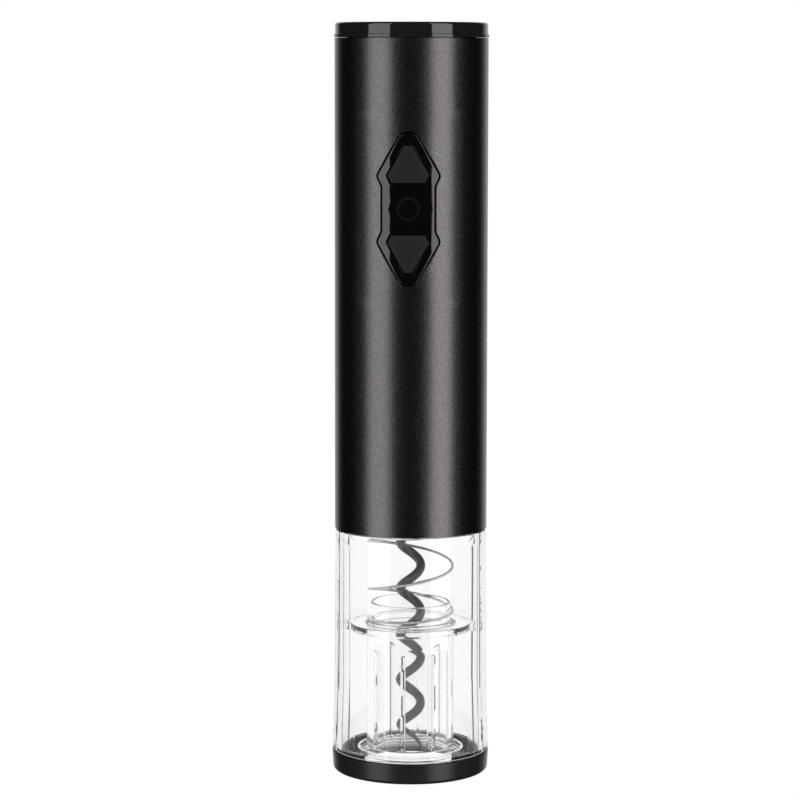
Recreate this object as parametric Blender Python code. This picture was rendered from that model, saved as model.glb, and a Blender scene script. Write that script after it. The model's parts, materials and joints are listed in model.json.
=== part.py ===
"""Electric wine opener: battery driven worm, three planetary stages, sprung clear cork sleeve.

The opener stands on its base ring with the tube's axis on Z. The switch faces -Y.
"""

import math

import bmesh
import bpy
from mathutils import Matrix, Vector

MM = 0.001
TAU = 2 * math.pi

# fits
GAP = 0.3 * MM               # between pieces that rest on each other
RUN = 0.09 * MM              # radial clearance of a shaft in its bore
CUT = 5.0 * MM               # how far a cutter runs past the face it cuts
SHELL_SIDES = 40             # sides of the outer shells
SLEEVE_SIDES = 28            # sides of the cork sleeve
CORE_SIDES = 20              # sides of round pieces inside
PIN_SIDES = 12               # sides of pins and screws

# outer shells
TUBE_R = 24.0 * MM
TUBE_WALL = 1.2 * MM
TUBE_EDGE = 0.3 * MM
RING_PROUD = 0.9 * MM        # ring's top edge outside the tube
RING_DRAFT = 0.4 * MM        # ring's foot inside its top edge
RING_HEIGHT = 6.6 * MM
RING_FILLET = 1.2 * MM
RING_WALL = 1.2 * MM
RING_LEDGE = 1.2 * MM        # thickness of the ledge under the clear shell's foot
RING_LEDGE_WIDTH = 1.5 * MM
TAB_ANGLES = [math.radians(a) for a in (39, 141, 219, 321)]
TAB_HALF = math.radians(10.0)
TAB_IN = 2.2 * MM            # tab's outer face inside the ring's inner wall
TAB_THICK = 1.5 * MM
TAB_UP = 0.8 * MM            # above the ring's top edge
NECK_CLEAR = 1.9 * MM        # neck bore round the cork sleeve; a bottle's lip passes through it
NECK_WALL = 1.1 * MM
NECK_HEIGHT = 5.9 * MM
CLEAR_FOOT_SET = 0.1 * MM    # shell's foot inside the ring's top edge
CLEAR_KNEE_PROUD = 0.15 * MM  # knee outside the tube
CLEAR_KNEE_UP = 22.0 * MM    # knee above the shell's foot
CLEAR_TOP_SET = 0.25 * MM    # shell's upper edge inside the tube
CLEAR_LENGTH = 71.0 * MM
CLEAR_WALL = 2.6 * MM
CLEAR_FLOOR = 2.0 * MM
CLEAR_BEVEL = 3.0 * MM       # height over which the wall thickens below the spigot
SPIGOT_LENGTH = 11.3 * MM
SPIGOT_WALL = 0.95 * MM
RIB_ANGLE = math.radians(14.5)
RIB_THICK = 0.9 * MM
RIB_DEPTH = 2.15 * MM
RIB_SUNK = 1.2 * MM          # rib's root inside the wall

# cork sleeve and its spring
SLEEVE_BORE = 12.0 * MM
SLEEVE_WALL = 1.9 * MM
SLEEVE_STEP = 0.4 * MM       # bore above the fins is smaller by this
SLEEVE_EDGE = 0.3 * MM
SLEEVE_RISE = 0.7 * MM       # above the clear shell's foot
SLEEVE_LENGTH = 46.4 * MM
FLANGE_CLEAR = 0.4 * MM      # flange inside the shell's ribs
FLANGE_THICK = 2.2 * MM
FLANGE_UP = 37.7 * MM        # flange underside above the sleeve's lower end
LIP_HEIGHT = 0.6 * MM
LIP_CLEAR = 0.5 * MM         # lip outside the spring
RIM_WALL = 1.0 * MM
RIM_HEIGHT = 5.9 * MM        # rim that centres the spring, above the lip
LUG_CLEAR = 0.45 * MM        # lugs inside the shell's wall
LUG_SET = 0.2 * MM           # lugs thinner than the flange, top and bottom
LUG_ANGLE = math.radians(11.0)
FIN_COUNT = 8
FIN_THICK = 0.8 * MM
FIN_DEPTH = 2.5 * MM
FIN_LENGTH = 32.0 * MM
FIN_TURN = math.radians(-8.5)
FIN_SUNK = 0.6 * MM          # fins' roots inside the sleeve's wall
SPRING_WIRE = 0.9 * MM
SPRING_PITCH = 15.4 * MM
SPRING_CLOSE = 1.7 * math.pi  # turn over which each end closes
SPRING_START = math.pi

# worm and hub
WORM_WIRE = 2.9 * MM
WORM_R = 3.25 * MM
WORM_PITCH = 14.7 * MM
WORM_TIP_UP = 4.9 * MM       # worm point above the opener's foot
WORM_TIP_TURN = -0.7
WORM_TAPER = 0.8 * TAU       # turn over which the wire thickens from the point
WORM_POINT = 0.06            # point's share of the wire's radius
WORM_BLEND = 0.5 * TAU       # turn over which the coil runs in to the axis
HUB_R = 6.5 * MM
HUB_UP = 0.8 * MM            # hub's lower end below the spring seat
HUB_LENGTH = 6.8 * MM
HUB_WORM_DEPTH = 4.0 * MM    # how far up the hub the worm's bore goes
HUB_SCREW_R = 0.8 * MM
HUB_EDGE = 0.6 * MM
SHANK_BELOW = 2.0 * MM       # straight shank starts this far below the hub
SEAT_ABOVE = 11.7 * MM       # spring seat above the clear shell's spigot
SEAT_THICK = 2.0 * MM
SEAT_ROOM = 2.1 * MM         # seat's bore round the hub

# gearbox
MODULE = 0.6 * MM
SUN_TEETH = 12
PLANET_TEETH = 15
RING_TEETH = SUN_TEETH + 2 * PLANET_TEETH
PLANETS = 3
TOOTH_OUT = 0.95             # tooth height outside the pitch circle, in modules
TOOTH_IN = 1.2               # tooth space inside the pitch circle, in modules
TOOTH_SLOPE = math.radians(22.0)
BACKLASH = 0.11 * MM         # each flank stands back by this
PLANET_WIDTH = 4.0 * MM
PLANET_PIN_R = 1.3 * MM
AXIAL_PLAY = 0.5 * MM
OUTPUT_PLATE = 2.0 * MM
CARRIER_PLATE = 1.6 * MM
CARRIER_RIM = 1.2 * MM       # carrier plate round its pins
PIN_PROUD = 0.4 * MM
OUTPUT_SHAFT_R = 3.0 * MM
BUSH_R = 5.0 * MM
GEARBOX_WALL = 2.68 * MM     # round the ring gear's tooth spaces
GEARBOX_FLOOR = 2.7 * MM

# motor
MOTOR_PLATE = 1.5 * MM
MOTOR_SHAFT_R = 1.0 * MM
CAN_R = 12.2 * MM
CAN_LENGTH = 30.8 * MM
CAN_WALL = 1.0 * MM
CAN_EDGE = 0.8 * MM
BELL_THICK = 2.2 * MM
BOSS_R = 3.0 * MM
ARMATURE_R = 8.4 * MM
ARMATURE_LENGTH = 18.0 * MM
ARMATURE_UP = 4.4 * MM        # windings above the can's lower end
COMMUTATOR_R = 3.2 * MM
COMMUTATOR_LENGTH = 6.0 * MM
MOTOR_SCREW_AT = 8.0 * MM
MOTOR_SCREW_R = 0.9 * MM

# chassis
CHASSIS_CLEAR = 0.4 * MM     # ribs inside the tube
CHASSIS_WALL = 1.6 * MM
CHASSIS_RIB = 2.0 * MM
CHASSIS_BOSS_UP = (6.0 * MM, 26.5 * MM)  # screws above the gearbox's lower end
HUB_ROOM = 2.5 * MM           # round the hub
CHASSIS_SPLIT = math.radians(0.9)
CHASSIS_SCREW_OUT = 1.5 * MM  # screws outside the chassis wall
CHASSIS_BOSS = 4.2 * MM
CHASSIS_SCREW_R = 0.9 * MM
SCREW_HEAD_R = 1.8 * MM
SCREW_HEAD = 1.2 * MM

# cells and battery case
CELL_R = 7.2 * MM
CELL_LENGTH = 50.5 * MM
CELL_APART = 0.4 * MM
CELL_CLEAR = 0.3 * MM
CELL_LIFT = 1.9 * MM         # room for the contact under each cell
CELL_NUB_R = 2.7 * MM
CELL_NUB = 1.0 * MM
CASE_CLEAR = 0.5 * MM        # case inside the tube
CASE_FRONT_WALL = 0.9 * MM
CASE_FLOOR = 1.5 * MM
CASE_RAISE = 2.8 * MM        # case floor above the motor's end bell
CASE_COLLAR = 7.7 * MM
COLLAR_WALL = 1.4 * MM
COLLAR_ROOT = 2.0 * MM       # how far the collar and the key post go down into the case
TERMINAL_THICK = 0.5 * MM
STRIP_WIDTH = 5.0 * MM
CONTACT_TIP_R = 1.2 * MM
KEY_POST_BACK = 2.2 * MM     # key post's axis behind the case's front flat
KEY_POST_R = 1.4 * MM

# battery cover
COVER_HEIGHT = 4.5 * MM
COVER_LIP_PROUD = 0.25 * MM  # lip outside the tube
COVER_LIP = 0.9 * MM
COVER_SET = 0.1 * MM         # cover's side inside the tube
COVER_FILLET = 0.9 * MM
COVER_CEILING = 1.5 * MM     # underside of the cover's top above its lip
SKIRT_WALL = 1.2 * MM
SKIRT_DROP = 6.4 * MM
THREAD_DOWN = 5.6 * MM       # thread's start below the cover's lip
THREAD_PLAY = 0.45 * MM
THREAD_LEAD = 5.0 * MM
THREAD_DEPTH = 0.7 * MM
THREAD_THICK = 0.8 * MM
THREAD_STARTS = 2
DISC_THICK = 2.0 * MM
RIVET_R = 1.2 * MM
RIVET_INTO = 1.0 * MM        # rivet's end above the cover's lip

# switch
SWITCH_DOWN = 52.4 * MM      # middle of the switch below the tube's upper end
ARROW_HALF = 9.72 * MM       # half width at the widest
ARROW_WAIST = 8.1 * MM
ARROW_WAIST_Z = 6.9 * MM
ARROW_WIDE_Z = 10.06 * MM
ARROW_SLOPE = math.radians(30.0)
ARROW_NOSE_R = 3.6 * MM
WINDOW_GAP = 0.4 * MM
BEZEL_PROUD = 0.05 * MM
BEZEL_FLANGE = 1.2 * MM
BEZEL_FLANGE_THICK = 1.1 * MM
BUTTON_HALF = 6.46 * MM
BUTTON_NOSE = 1.15 * MM
BUTTON_TOP_Z = 19.55 * MM
BUTTON_BASE_Z = 7.94 * MM
BUTTON_CHAMFER = 1.2 * MM
BUTTON_GAP = 0.3 * MM
BUTTON_PROUD = 0.1 * MM
BUTTON_TRAVEL = 0.5 * MM
BUTTON_FLANGE = 0.7 * MM
BUTTON_FLANGE_THICK = 1.0 * MM
PLUNGER_R = 1.6 * MM
PLUNGER_LENGTH = 2.0 * MM
TACT_SIZE = 6.0 * MM
TACT_THICK = 3.1 * MM
TACT_STAND = 1.1 * MM        # tact switch behind the button's flange
BOARD_THICK = 1.2 * MM
BOARD_HALF = 8.5 * MM
BOARD_MARGIN = 3.0 * MM

# radii and depths worked out from the sizes above
tube_in = TUBE_R - TUBE_WALL
ring_top_r = TUBE_R + RING_PROUD
ring_foot_r = ring_top_r - RING_DRAFT
ring_in = ring_top_r - RING_WALL
tab_outer = ring_in - TAB_IN
tab_inner = tab_outer - TAB_THICK
spigot_r = tube_in - GAP
spigot_in = spigot_r - SPIGOT_WALL
clear_foot_r = ring_top_r - CLEAR_FOOT_SET
clear_knee_r = TUBE_R + CLEAR_KNEE_PROUD
clear_top_r = TUBE_R - CLEAR_TOP_SET
rib_tip_r = spigot_in - RIB_DEPTH
sleeve_r = SLEEVE_BORE + SLEEVE_WALL
neck_r = sleeve_r + NECK_CLEAR
rim_bore = SLEEVE_BORE - SLEEVE_STEP
rim_r = rim_bore + RIM_WALL
spring_r = rim_r + GAP + SPRING_WIRE / 2
lip_r = spring_r + SPRING_WIRE / 2 + LIP_CLEAR
flange_r = rib_tip_r - FLANGE_CLEAR
lug_r = spigot_in - LUG_CLEAR
planet_at = MODULE * (SUN_TEETH + PLANET_TEETH) / 2
carrier_r = planet_at + PLANET_PIN_R + CARRIER_RIM
gearbox_r = MODULE * (RING_TEETH / 2 + TOOTH_IN) + GEARBOX_WALL
chassis_r = tube_in - CHASSIS_CLEAR
chassis_wall_r = gearbox_r + GAP + CHASSIS_WALL
chassis_screw_at = chassis_wall_r + CHASSIS_SCREW_OUT
case_r = tube_in - CASE_CLEAR
collar_bore = case_r - COLLAR_WALL
skirt_r = collar_bore - THREAD_DEPTH - GAP
skirt_in = skirt_r - SKIRT_WALL
cover_r = TUBE_R - COVER_SET
cover_lip_r = TUBE_R + COVER_LIP_PROUD
bezel_back_r = tube_in - GAP - BEZEL_FLANGE_THICK
button_reach = BUTTON_HALF + BUTTON_FLANGE
button_flange_y = GAP - math.sqrt(bezel_back_r ** 2 - button_reach ** 2)
button_back_y = button_flange_y + BUTTON_FLANGE_THICK
tact_y = button_back_y + GAP + TACT_STAND
board_y = tact_y + TACT_THICK + GAP
case_front = board_y + BOARD_THICK + GAP
cell_x = CELL_R + CELL_APART / 2
cell_front_y = case_front + CASE_FRONT_WALL + CELL_CLEAR + CELL_R
cell_y = (cell_front_y, cell_front_y + 2 * cell_x)
key_post_y = case_front + KEY_POST_BACK
seat_bore = HUB_R + SEAT_ROOM

# heights worked out from the sizes above
clear_z = RING_HEIGHT + GAP
tube_z = clear_z + CLEAR_LENGTH
sleeve_z = clear_z + SLEEVE_RISE
flange_z = sleeve_z + FLANGE_UP
lip_z = flange_z + FLANGE_THICK + LIP_HEIGHT
shoulder_z = tube_z - GAP
spigot_z = shoulder_z + SPIGOT_LENGTH
seat_z = spigot_z + SEAT_ABOVE
hub_z = seat_z - HUB_UP
gearbox_z = hub_z + HUB_LENGTH + GAP
stage_z = [gearbox_z + GEARBOX_FLOOR + AXIAL_PLAY]
stage_z.append(stage_z[0] + OUTPUT_PLATE + PLANET_WIDTH + AXIAL_PLAY + AXIAL_PLAY + GAP)
stage_z.append(stage_z[1] + CARRIER_PLATE + PLANET_WIDTH + AXIAL_PLAY + AXIAL_PLAY + GAP)
planet_z = [stage_z[0] + OUTPUT_PLATE + AXIAL_PLAY]
planet_z += [z + CARRIER_PLATE + AXIAL_PLAY for z in stage_z[1:]]
gearbox_top = planet_z[2] + PLANET_WIDTH + PIN_PROUD + AXIAL_PLAY
motor_plate_z = gearbox_top + GAP
can_z = motor_plate_z + MOTOR_PLATE + GAP
bell_z = can_z + CAN_LENGTH + GAP
case_z = bell_z + BELL_THICK + CASE_RAISE
cell_z = case_z + CASE_FLOOR + TERMINAL_THICK + 2 * GAP + CELL_LIFT
cell_top = cell_z + CELL_LENGTH
case_top = cell_top - AXIAL_PLAY
strip_z = cell_top + GAP
disc_z = strip_z + TERMINAL_THICK + GAP
collar_top = case_top + CASE_COLLAR
tube_top = collar_top
cover_z = tube_top + GAP
overall = cover_z + COVER_HEIGHT
switch_z = cover_z - SWITCH_DOWN

print(f"overall height {overall / MM:.1f} mm, tube from {tube_z / MM:.1f} to {tube_top / MM:.1f} mm")


# ---------------------------------------------------------------- tools

def clear_scene():
    for old in list(bpy.data.objects):
        bpy.data.objects.remove(old, do_unlink=True)


def material(name, colour, roughness, metallic=0.0, transmission=0.0):
    mat = bpy.data.materials.new(name)
    mat.use_nodes = True
    shader = mat.node_tree.nodes["Principled BSDF"]
    shader.inputs["Base Color"].default_value = (*colour, 1.0)
    shader.inputs["Roughness"].default_value = roughness
    shader.inputs["Metallic"].default_value = metallic
    shader.inputs["Transmission Weight"].default_value = transmission
    return mat


def add_object(name, mesh_data, mat=None):
    """A finished bmesh as a named object; a piece with no material is a cutter."""
    bmesh.ops.remove_doubles(mesh_data, verts=mesh_data.verts, dist=1e-7)
    bmesh.ops.recalc_face_normals(mesh_data, faces=mesh_data.faces)
    mesh = bpy.data.meshes.new(name)
    mesh_data.to_mesh(mesh)
    mesh_data.free()
    obj = bpy.data.objects.new(name, mesh)
    bpy.context.scene.collection.objects.link(obj)
    if mat is None:
        obj.hide_render = True
        obj.display_type = "WIRE"
    else:
        mesh.materials.append(mat)
        mesh.shade_smooth()
        mesh.set_sharp_from_angle(angle=math.radians(35))
    return obj


def turned(name, profile, sides=SHELL_SIDES, mat=None):
    """A closed outline of (radius, height) points turned once about Z."""
    data = bmesh.new()
    verts = [data.verts.new((r, 0.0, z)) for r, z in profile]
    edges = [data.edges.new((verts[i], verts[(i + 1) % len(verts)])) for i in range(len(verts))]
    bmesh.ops.spin(data, geom=verts + edges, cent=(0, 0, 0), axis=(0, 0, 1), angle=TAU, steps=sides,
                   use_merge=True, use_duplicate=False)
    return add_object(name, data, mat)


def swept(name, profile, start, sweep, steps, lead=0.0, mat=None):
    """A closed outline of (radius, height) points swept part of a turn about Z, climbing by the lead."""
    data = bmesh.new()
    rings = []
    for i in range(steps + 1):
        angle = start + sweep * i / steps
        climb = lead * sweep * i / steps / TAU
        rings.append([data.verts.new((r * math.cos(angle), r * math.sin(angle), z + climb))
                      for r, z in profile])
    count = len(profile)
    for ring, following in zip(rings, rings[1:]):
        for i in range(count):
            j = (i + 1) % count
            data.faces.new((ring[i], ring[j], following[j], following[i]))
    data.faces.new(rings[0])
    data.faces.new(rings[-1][::-1])
    return add_object(name, data, mat)


def disc_outline(radius, sides, x=0.0, y=0.0):
    """A round outline whose flats, not corners, face the axes."""
    angles = [TAU * (i + 0.5) / sides for i in range(sides)]
    return [(x + radius * math.cos(a), y + radius * math.sin(a)) for a in angles]


def prism(name, outlines, low, high, mat=None, frame=None):
    """Flat outlines, the first one outermost and the rest holes, extruded from low to high along Z."""
    data = bmesh.new()
    edges = []
    for outline in outlines:
        loop = [data.verts.new((x, y, low)) for x, y in outline]
        edges += [data.edges.new((loop[i], loop[(i + 1) % len(loop)])) for i in range(len(loop))]
    faces = bmesh.ops.triangle_fill(data, use_beauty=True, edges=edges)["geom"]
    faces = [face for face in faces if isinstance(face, bmesh.types.BMFace)]
    raised = bmesh.ops.extrude_face_region(data, geom=faces, use_keep_orig=True)["geom"]
    top = [vert for vert in raised if isinstance(vert, bmesh.types.BMVert)]
    bmesh.ops.translate(data, verts=top, vec=(0, 0, high - low))
    if frame is not None:
        bmesh.ops.transform(data, matrix=frame, verts=data.verts)
    return add_object(name, data, mat)


def pin(name, radius, low, high, x=0.0, y=0.0, sides=PIN_SIDES, mat=None):
    return prism(name, [disc_outline(radius, sides, x, y)], low, high, mat)


def block(name, low, high, mat=None):
    """A box between two corners."""
    outline = [(low[0], low[1]), (high[0], low[1]), (high[0], high[1]), (low[0], high[1])]
    return prism(name, [outline], low[2], high[2], mat)


def facing_front(outline, y_front, y_back, name, mat=None):
    """An outline of (x, z) points extruded along Y."""
    turn = Matrix.Rotation(math.radians(90), 4, "X")
    return prism(name, [outline], -y_back, -y_front, mat, turn)


def boolean(obj, other, operation):
    other.hide_render = True
    other.display_type = "WIRE"
    change = obj.modifiers.new(f"{operation.lower()} {other.name}", "BOOLEAN")
    change.object = other
    change.operation = operation
    change.solver = "EXACT"
    return obj


def group(name, pieces):
    """Several separate cutters or additions as one object, so that one Boolean does them all."""
    data = bmesh.new()
    for piece in pieces:
        data.from_mesh(piece.data)
        bpy.data.objects.remove(piece, do_unlink=True)
    return add_object(name, data)


def rod(name, points, radii, sides, mat):
    """A round bar along points, as a curve with a bevel and filled ends."""
    curve = bpy.data.curves.new(name, "CURVE")
    curve.dimensions = "3D"
    curve.bevel_depth = 1.0
    curve.bevel_resolution = sides
    curve.use_fill_caps = True
    spline = curve.splines.new("POLY")
    spline.points.add(len(points) - 1)
    for point, place, radius in zip(spline.points, points, radii):
        point.co = (*place, 1.0)
        point.radius = radius
    curve.materials.append(mat)
    obj = bpy.data.objects.new(name, curve)
    bpy.context.scene.collection.objects.link(obj)
    return obj


def set_origin(obj, place):
    """Moves the object's origin to its joint's axis and leaves the shape where it is."""
    place = Vector(place)
    obj.data.transform(Matrix.Translation(-place))
    obj.location = place
    return obj


# ---------------------------------------------------------------- materials

anodised = material("anodised aluminium, black", (0.030, 0.027, 0.026), 0.42, 0.9)
gloss_black = material("gloss black ABS", (0.012, 0.012, 0.013), 0.08)
satin_black = material("satin black ABS", (0.014, 0.014, 0.014), 0.35)
button_grey = material("soft touch plastic, dark grey", (0.017, 0.017, 0.018), 0.6)
clear_plastic = material("clear SAN", (0.95, 0.96, 0.97), 0.04, 0.0, 1.0)
coated_steel = material("coated steel, dark grey", (0.06, 0.06, 0.062), 0.35, 0.6)
spring_steel = material("spring steel", (0.55, 0.55, 0.55), 0.25, 1.0)
plain_steel = material("zinc plated steel", (0.6, 0.6, 0.6), 0.3, 1.0)
bronze = material("sintered bronze", (0.45, 0.28, 0.12), 0.5, 1.0)
acetal = material("white acetal", (0.75, 0.74, 0.7), 0.4)
black_nylon = material("black glass filled nylon", (0.03, 0.03, 0.03), 0.55)
grey_abs = material("grey ABS", (0.16, 0.16, 0.17), 0.5)
copper = material("enamelled copper", (0.55, 0.22, 0.09), 0.35, 1.0)
nickel = material("nickel plated brass", (0.6, 0.57, 0.5), 0.25, 1.0)
board_green = material("circuit board, green", (0.02, 0.12, 0.05), 0.4)
cell_wrap = material("alkaline cell wrap", (0.05, 0.05, 0.06), 0.3, 0.3)


# ---------------------------------------------------------------- outer shells

def make_body_tube():
    edge = TUBE_EDGE
    tube = turned("body_tube", [(tube_in, tube_z), (TUBE_R - edge, tube_z), (TUBE_R, tube_z + edge),
                                (TUBE_R, tube_top - edge), (TUBE_R - edge, tube_top), (tube_in, tube_top)],
                  mat=anodised)
    window = facing_front(arrow_outline(WINDOW_GAP), -TUBE_R - CUT, -TUBE_R + CUT, "tube window")
    return boolean(tube, window, "DIFFERENCE")


def tabs(name, profile, half):
    """One outline of (radius, height) points swept across each of the four bayonet tabs."""
    return group(name, [swept("tab", profile, angle - half, 2 * half, 4) for angle in TAB_ANGLES])


def make_base_ring():
    """A thin hoop with a ledge that carries the clear shell, and four tabs that lock it."""
    corner = [(ring_foot_r - RING_FILLET * (1 - math.sin(a)), RING_FILLET * (1 - math.cos(a)))
              for a in (0, math.radians(45), math.radians(90))]
    ledge_r = ring_in - RING_LEDGE_WIDTH
    chamfer = RING_WALL / 3
    profile = corner + [(ring_top_r, RING_HEIGHT - chamfer), (ring_top_r - chamfer, RING_HEIGHT),
                        (ring_in, RING_HEIGHT), (ring_in, RING_LEDGE), (ledge_r, RING_LEDGE), (ledge_r, 0.0)]
    ring = turned("base_ring", profile, mat=satin_black)
    root = ledge_r + RING_LEDGE_WIDTH / 3
    top = RING_HEIGHT + TAB_UP
    standing = [(tab_inner, 0.0), (root, 0.0), (root, RING_LEDGE - RUN), (tab_outer, RING_LEDGE - RUN),
                (tab_outer, top), (tab_inner, top)]
    return boolean(ring, tabs("ring tabs", standing, TAB_HALF), "UNION")


def make_clear_shell():
    """Foot inside the hoop, flared wall, spigot in the tube, floor with the bottle's neck bore."""
    low = RING_LEDGE + GAP
    floor = low + CLEAR_FLOOR
    foot_r = ring_in - GAP
    knee_z = clear_z + CLEAR_KNEE_UP
    neck_out = neck_r + NECK_WALL
    outside = [(foot_r, low), (foot_r, clear_z), (clear_foot_r, clear_z), (clear_knee_r, knee_z),
               (clear_top_r, shoulder_z), (spigot_r, shoulder_z), (spigot_r, spigot_z)]
    inside = [(spigot_in, spigot_z), (spigot_in, shoulder_z - CLEAR_BEVEL),
              (clear_knee_r - CLEAR_WALL, knee_z), (clear_foot_r - CLEAR_WALL, floor)]
    neck = [(neck_out, floor), (neck_out, low + NECK_HEIGHT), (neck_r, low + NECK_HEIGHT), (neck_r, low)]
    shell = turned("clear_shell", outside + inside + neck, mat=clear_plastic)
    inner, outer, top = tab_inner - GAP, tab_outer + GAP, RING_HEIGHT + TAB_UP + GAP
    notch = [(inner, -CUT), (outer, -CUT), (outer, top), (inner, top)]
    boolean(shell, tabs("tab notches", notch, TAB_HALF + GAP / tab_inner), "DIFFERENCE")
    ribs = []
    for side in (0, math.pi):
        for turn in (-RIB_ANGLE, RIB_ANGLE):
            rib = block("rib", (rib_tip_r, -RIB_THICK / 2, low + CLEAR_FLOOR / 2),
                        (spigot_in + RIB_SUNK, RIB_THICK / 2, shoulder_z - CLEAR_BEVEL))
            rib.data.transform(Matrix.Rotation(side + turn, 4, "Z"))
            ribs.append(rib)
    return boolean(shell, group("shell ribs", ribs), "UNION")


def make_battery_cover():
    top = overall
    corner = [(cover_r - COVER_FILLET * (1 - math.cos(a)), top - COVER_FILLET * (1 - math.sin(a)))
              for a in (0, math.radians(45), math.radians(90))]
    edge = COVER_LIP / 4
    ceiling = cover_z + COVER_CEILING
    profile = corner + [(0, top), (0, ceiling), (skirt_in, ceiling), (skirt_in, cover_z - SKIRT_DROP),
                        (skirt_r, cover_z - SKIRT_DROP), (skirt_r, cover_z),
                        (cover_lip_r - edge, cover_z), (cover_lip_r, cover_z + edge),
                        (cover_lip_r, cover_z + COVER_LIP), (cover_r, cover_z + COVER_LIP)]
    cover = turned("battery_cover", profile, mat=gloss_black)
    ridges = []
    for start in range(THREAD_STARTS):
        ridges.append(thread_ridge(skirt_r - SKIRT_WALL / 2, skirt_r + THREAD_DEPTH,
                                   TAU * start / THREAD_STARTS, TAU / 4, cover_z - THREAD_DOWN))
    boolean(cover, group("cover threads", ridges), "UNION")
    boss_top = (ceiling + overall) / 2
    boss_foot = disc_z + DISC_THICK + GAP
    boss = turned("cover boss", [(BOSS_R, boss_top), (RIVET_R + GAP, boss_top), (RIVET_R + GAP, boss_foot),
                                 (BOSS_R, boss_foot)], CORE_SIDES)
    return boolean(cover, boss, "UNION")


def thread_ridge(inner, outer, start, sweep, z):
    """One square thread ridge, shared by the cover's skirt and the case's collar."""
    half = THREAD_THICK / 2
    profile = [(inner, z - half), (outer, z - half), (outer, z + half), (inner, z + half)]
    return swept("ridge", profile, start, sweep, 6, THREAD_LEAD)


def arrow_reach():
    """Height of the switch's rounded nose above its middle."""
    peak = ARROW_WIDE_Z + ARROW_HALF / math.tan(ARROW_SLOPE)
    return peak - ARROW_NOSE_R / math.sin(ARROW_SLOPE) + ARROW_NOSE_R


def arrow_outline(grow=0.0):
    """The switch's outline, two arrowheads nose to nose, as (x, z) points round from the right."""
    wide = ARROW_HALF + grow
    waist = ARROW_WAIST + grow
    nose = ARROW_NOSE_R + grow
    centre = arrow_reach() - ARROW_NOSE_R
    quarter = [(waist, 0.0), (waist, ARROW_WAIST_Z), (wide, ARROW_WIDE_Z)]
    for step in range(5):
        angle = ARROW_SLOPE + (math.pi / 2 - ARROW_SLOPE) * step / 4
        quarter.append((nose * math.cos(angle), centre + nose * math.sin(angle)))
    left = [(-x, z) for x, z in reversed(quarter[:-1])]
    upper = quarter + left
    lower = [(x, -z) for x, z in reversed(upper[1:-1])]
    return [(x, z + switch_z) for x, z in upper + lower]


def button_outline(grow, up):
    """One arrow button with a flat nose and chamfered lower corners."""
    wide = BUTTON_HALF + grow
    nose = BUTTON_NOSE + grow * math.tan(ARROW_SLOPE / 2 + math.pi / 8)
    drop = (BUTTON_HALF - BUTTON_NOSE) / math.tan(ARROW_SLOPE)
    half = [(wide - BUTTON_CHAMFER, BUTTON_BASE_Z - grow), (wide, BUTTON_TOP_Z - drop),
            (nose, BUTTON_TOP_Z + grow)]
    points = half + [(-x, z) for x, z in reversed(half)]
    side = 1 if up else -1
    return [(x, switch_z + side * z) for x, z in points]


def curved_plate(name, outline, inner, outer, mat=None):
    """The part of a cylinder's wall that shows inside an outline seen from the front."""
    low = min(z for x, z in outline) - CUT
    high = max(z for x, z in outline) + CUT
    wall = turned(f"{name} wall", [(inner, low), (outer, low), (outer, high), (inner, high)])
    plate = facing_front(outline, -TUBE_R - CUT, -TUBE_R / 2, name, mat)
    return boolean(plate, wall, "INTERSECT")


def make_switch():
    bezel = curved_plate("switch_bezel", arrow_outline(), bezel_back_r, TUBE_R + BEZEL_PROUD, gloss_black)
    flange = curved_plate("bezel flange", arrow_outline(BEZEL_FLANGE), bezel_back_r + BEZEL_PROUD,
                          tube_in - GAP)
    boolean(bezel, flange, "UNION")
    for name, up in (("up", True), ("down", False)):
        hole = facing_front(button_outline(BUTTON_GAP, up), -TUBE_R - CUT, -TUBE_R + CUT, f"{name} opening")
        boolean(bezel, hole, "DIFFERENCE")
        make_button(name, up)


def make_button(name, up):
    """Cap with a flange behind the bezel, a plunger behind it and the tact switch that it presses."""
    centre = switch_z + (1 if up else -1) * (BUTTON_BASE_Z + BUTTON_TOP_Z) / 2
    root = button_flange_y + BUTTON_FLANGE_THICK / 2
    button = facing_front(button_outline(0.0, up), -TUBE_R - CUT, root, f"{name}_button", button_grey)
    low = switch_z - BUTTON_TOP_Z - CUT
    face_r = TUBE_R + BUTTON_PROUD
    bar = turned(f"{name} button face", [(0, low), (face_r, low), (face_r, overall), (0, overall)])
    boolean(button, bar, "INTERSECT")
    flange = facing_front(button_outline(BUTTON_FLANGE, up), button_flange_y, button_back_y,
                          f"{name} button flange")
    boolean(button, flange, "UNION")
    front = button_back_y + GAP
    turn = Matrix.Translation((0, 0, centre)) @ Matrix.Rotation(math.radians(90), 4, "X")
    plunger = prism(f"{name}_plunger", [disc_outline(PLUNGER_R, PIN_SIDES)], -front - PLUNGER_LENGTH, -front,
                    black_nylon, turn)
    half = TACT_SIZE / 2
    body = block(f"{name}_tact_switch", (-half, tact_y, centre - half),
                 (half, tact_y + TACT_THICK, centre + half), black_nylon)
    well = prism(f"{name} switch well", [disc_outline(PLUNGER_R + GAP, PIN_SIDES)],
                 -front - PLUNGER_LENGTH - BUTTON_TRAVEL - GAP, CUT - tact_y, None, turn)
    boolean(body, well, "DIFFERENCE")
    set_origin(button, (0, button_back_y, centre))
    set_origin(plunger, (0, button_back_y, centre))


def make_circuit_board():
    reach = BUTTON_TOP_Z + BOARD_MARGIN
    return block("circuit_board", (-BOARD_HALF, board_y, switch_z - reach),
                 (BOARD_HALF, board_y + BOARD_THICK, switch_z + reach), board_green)


# ---------------------------------------------------------------- cork sleeve, spring, worm

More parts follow.
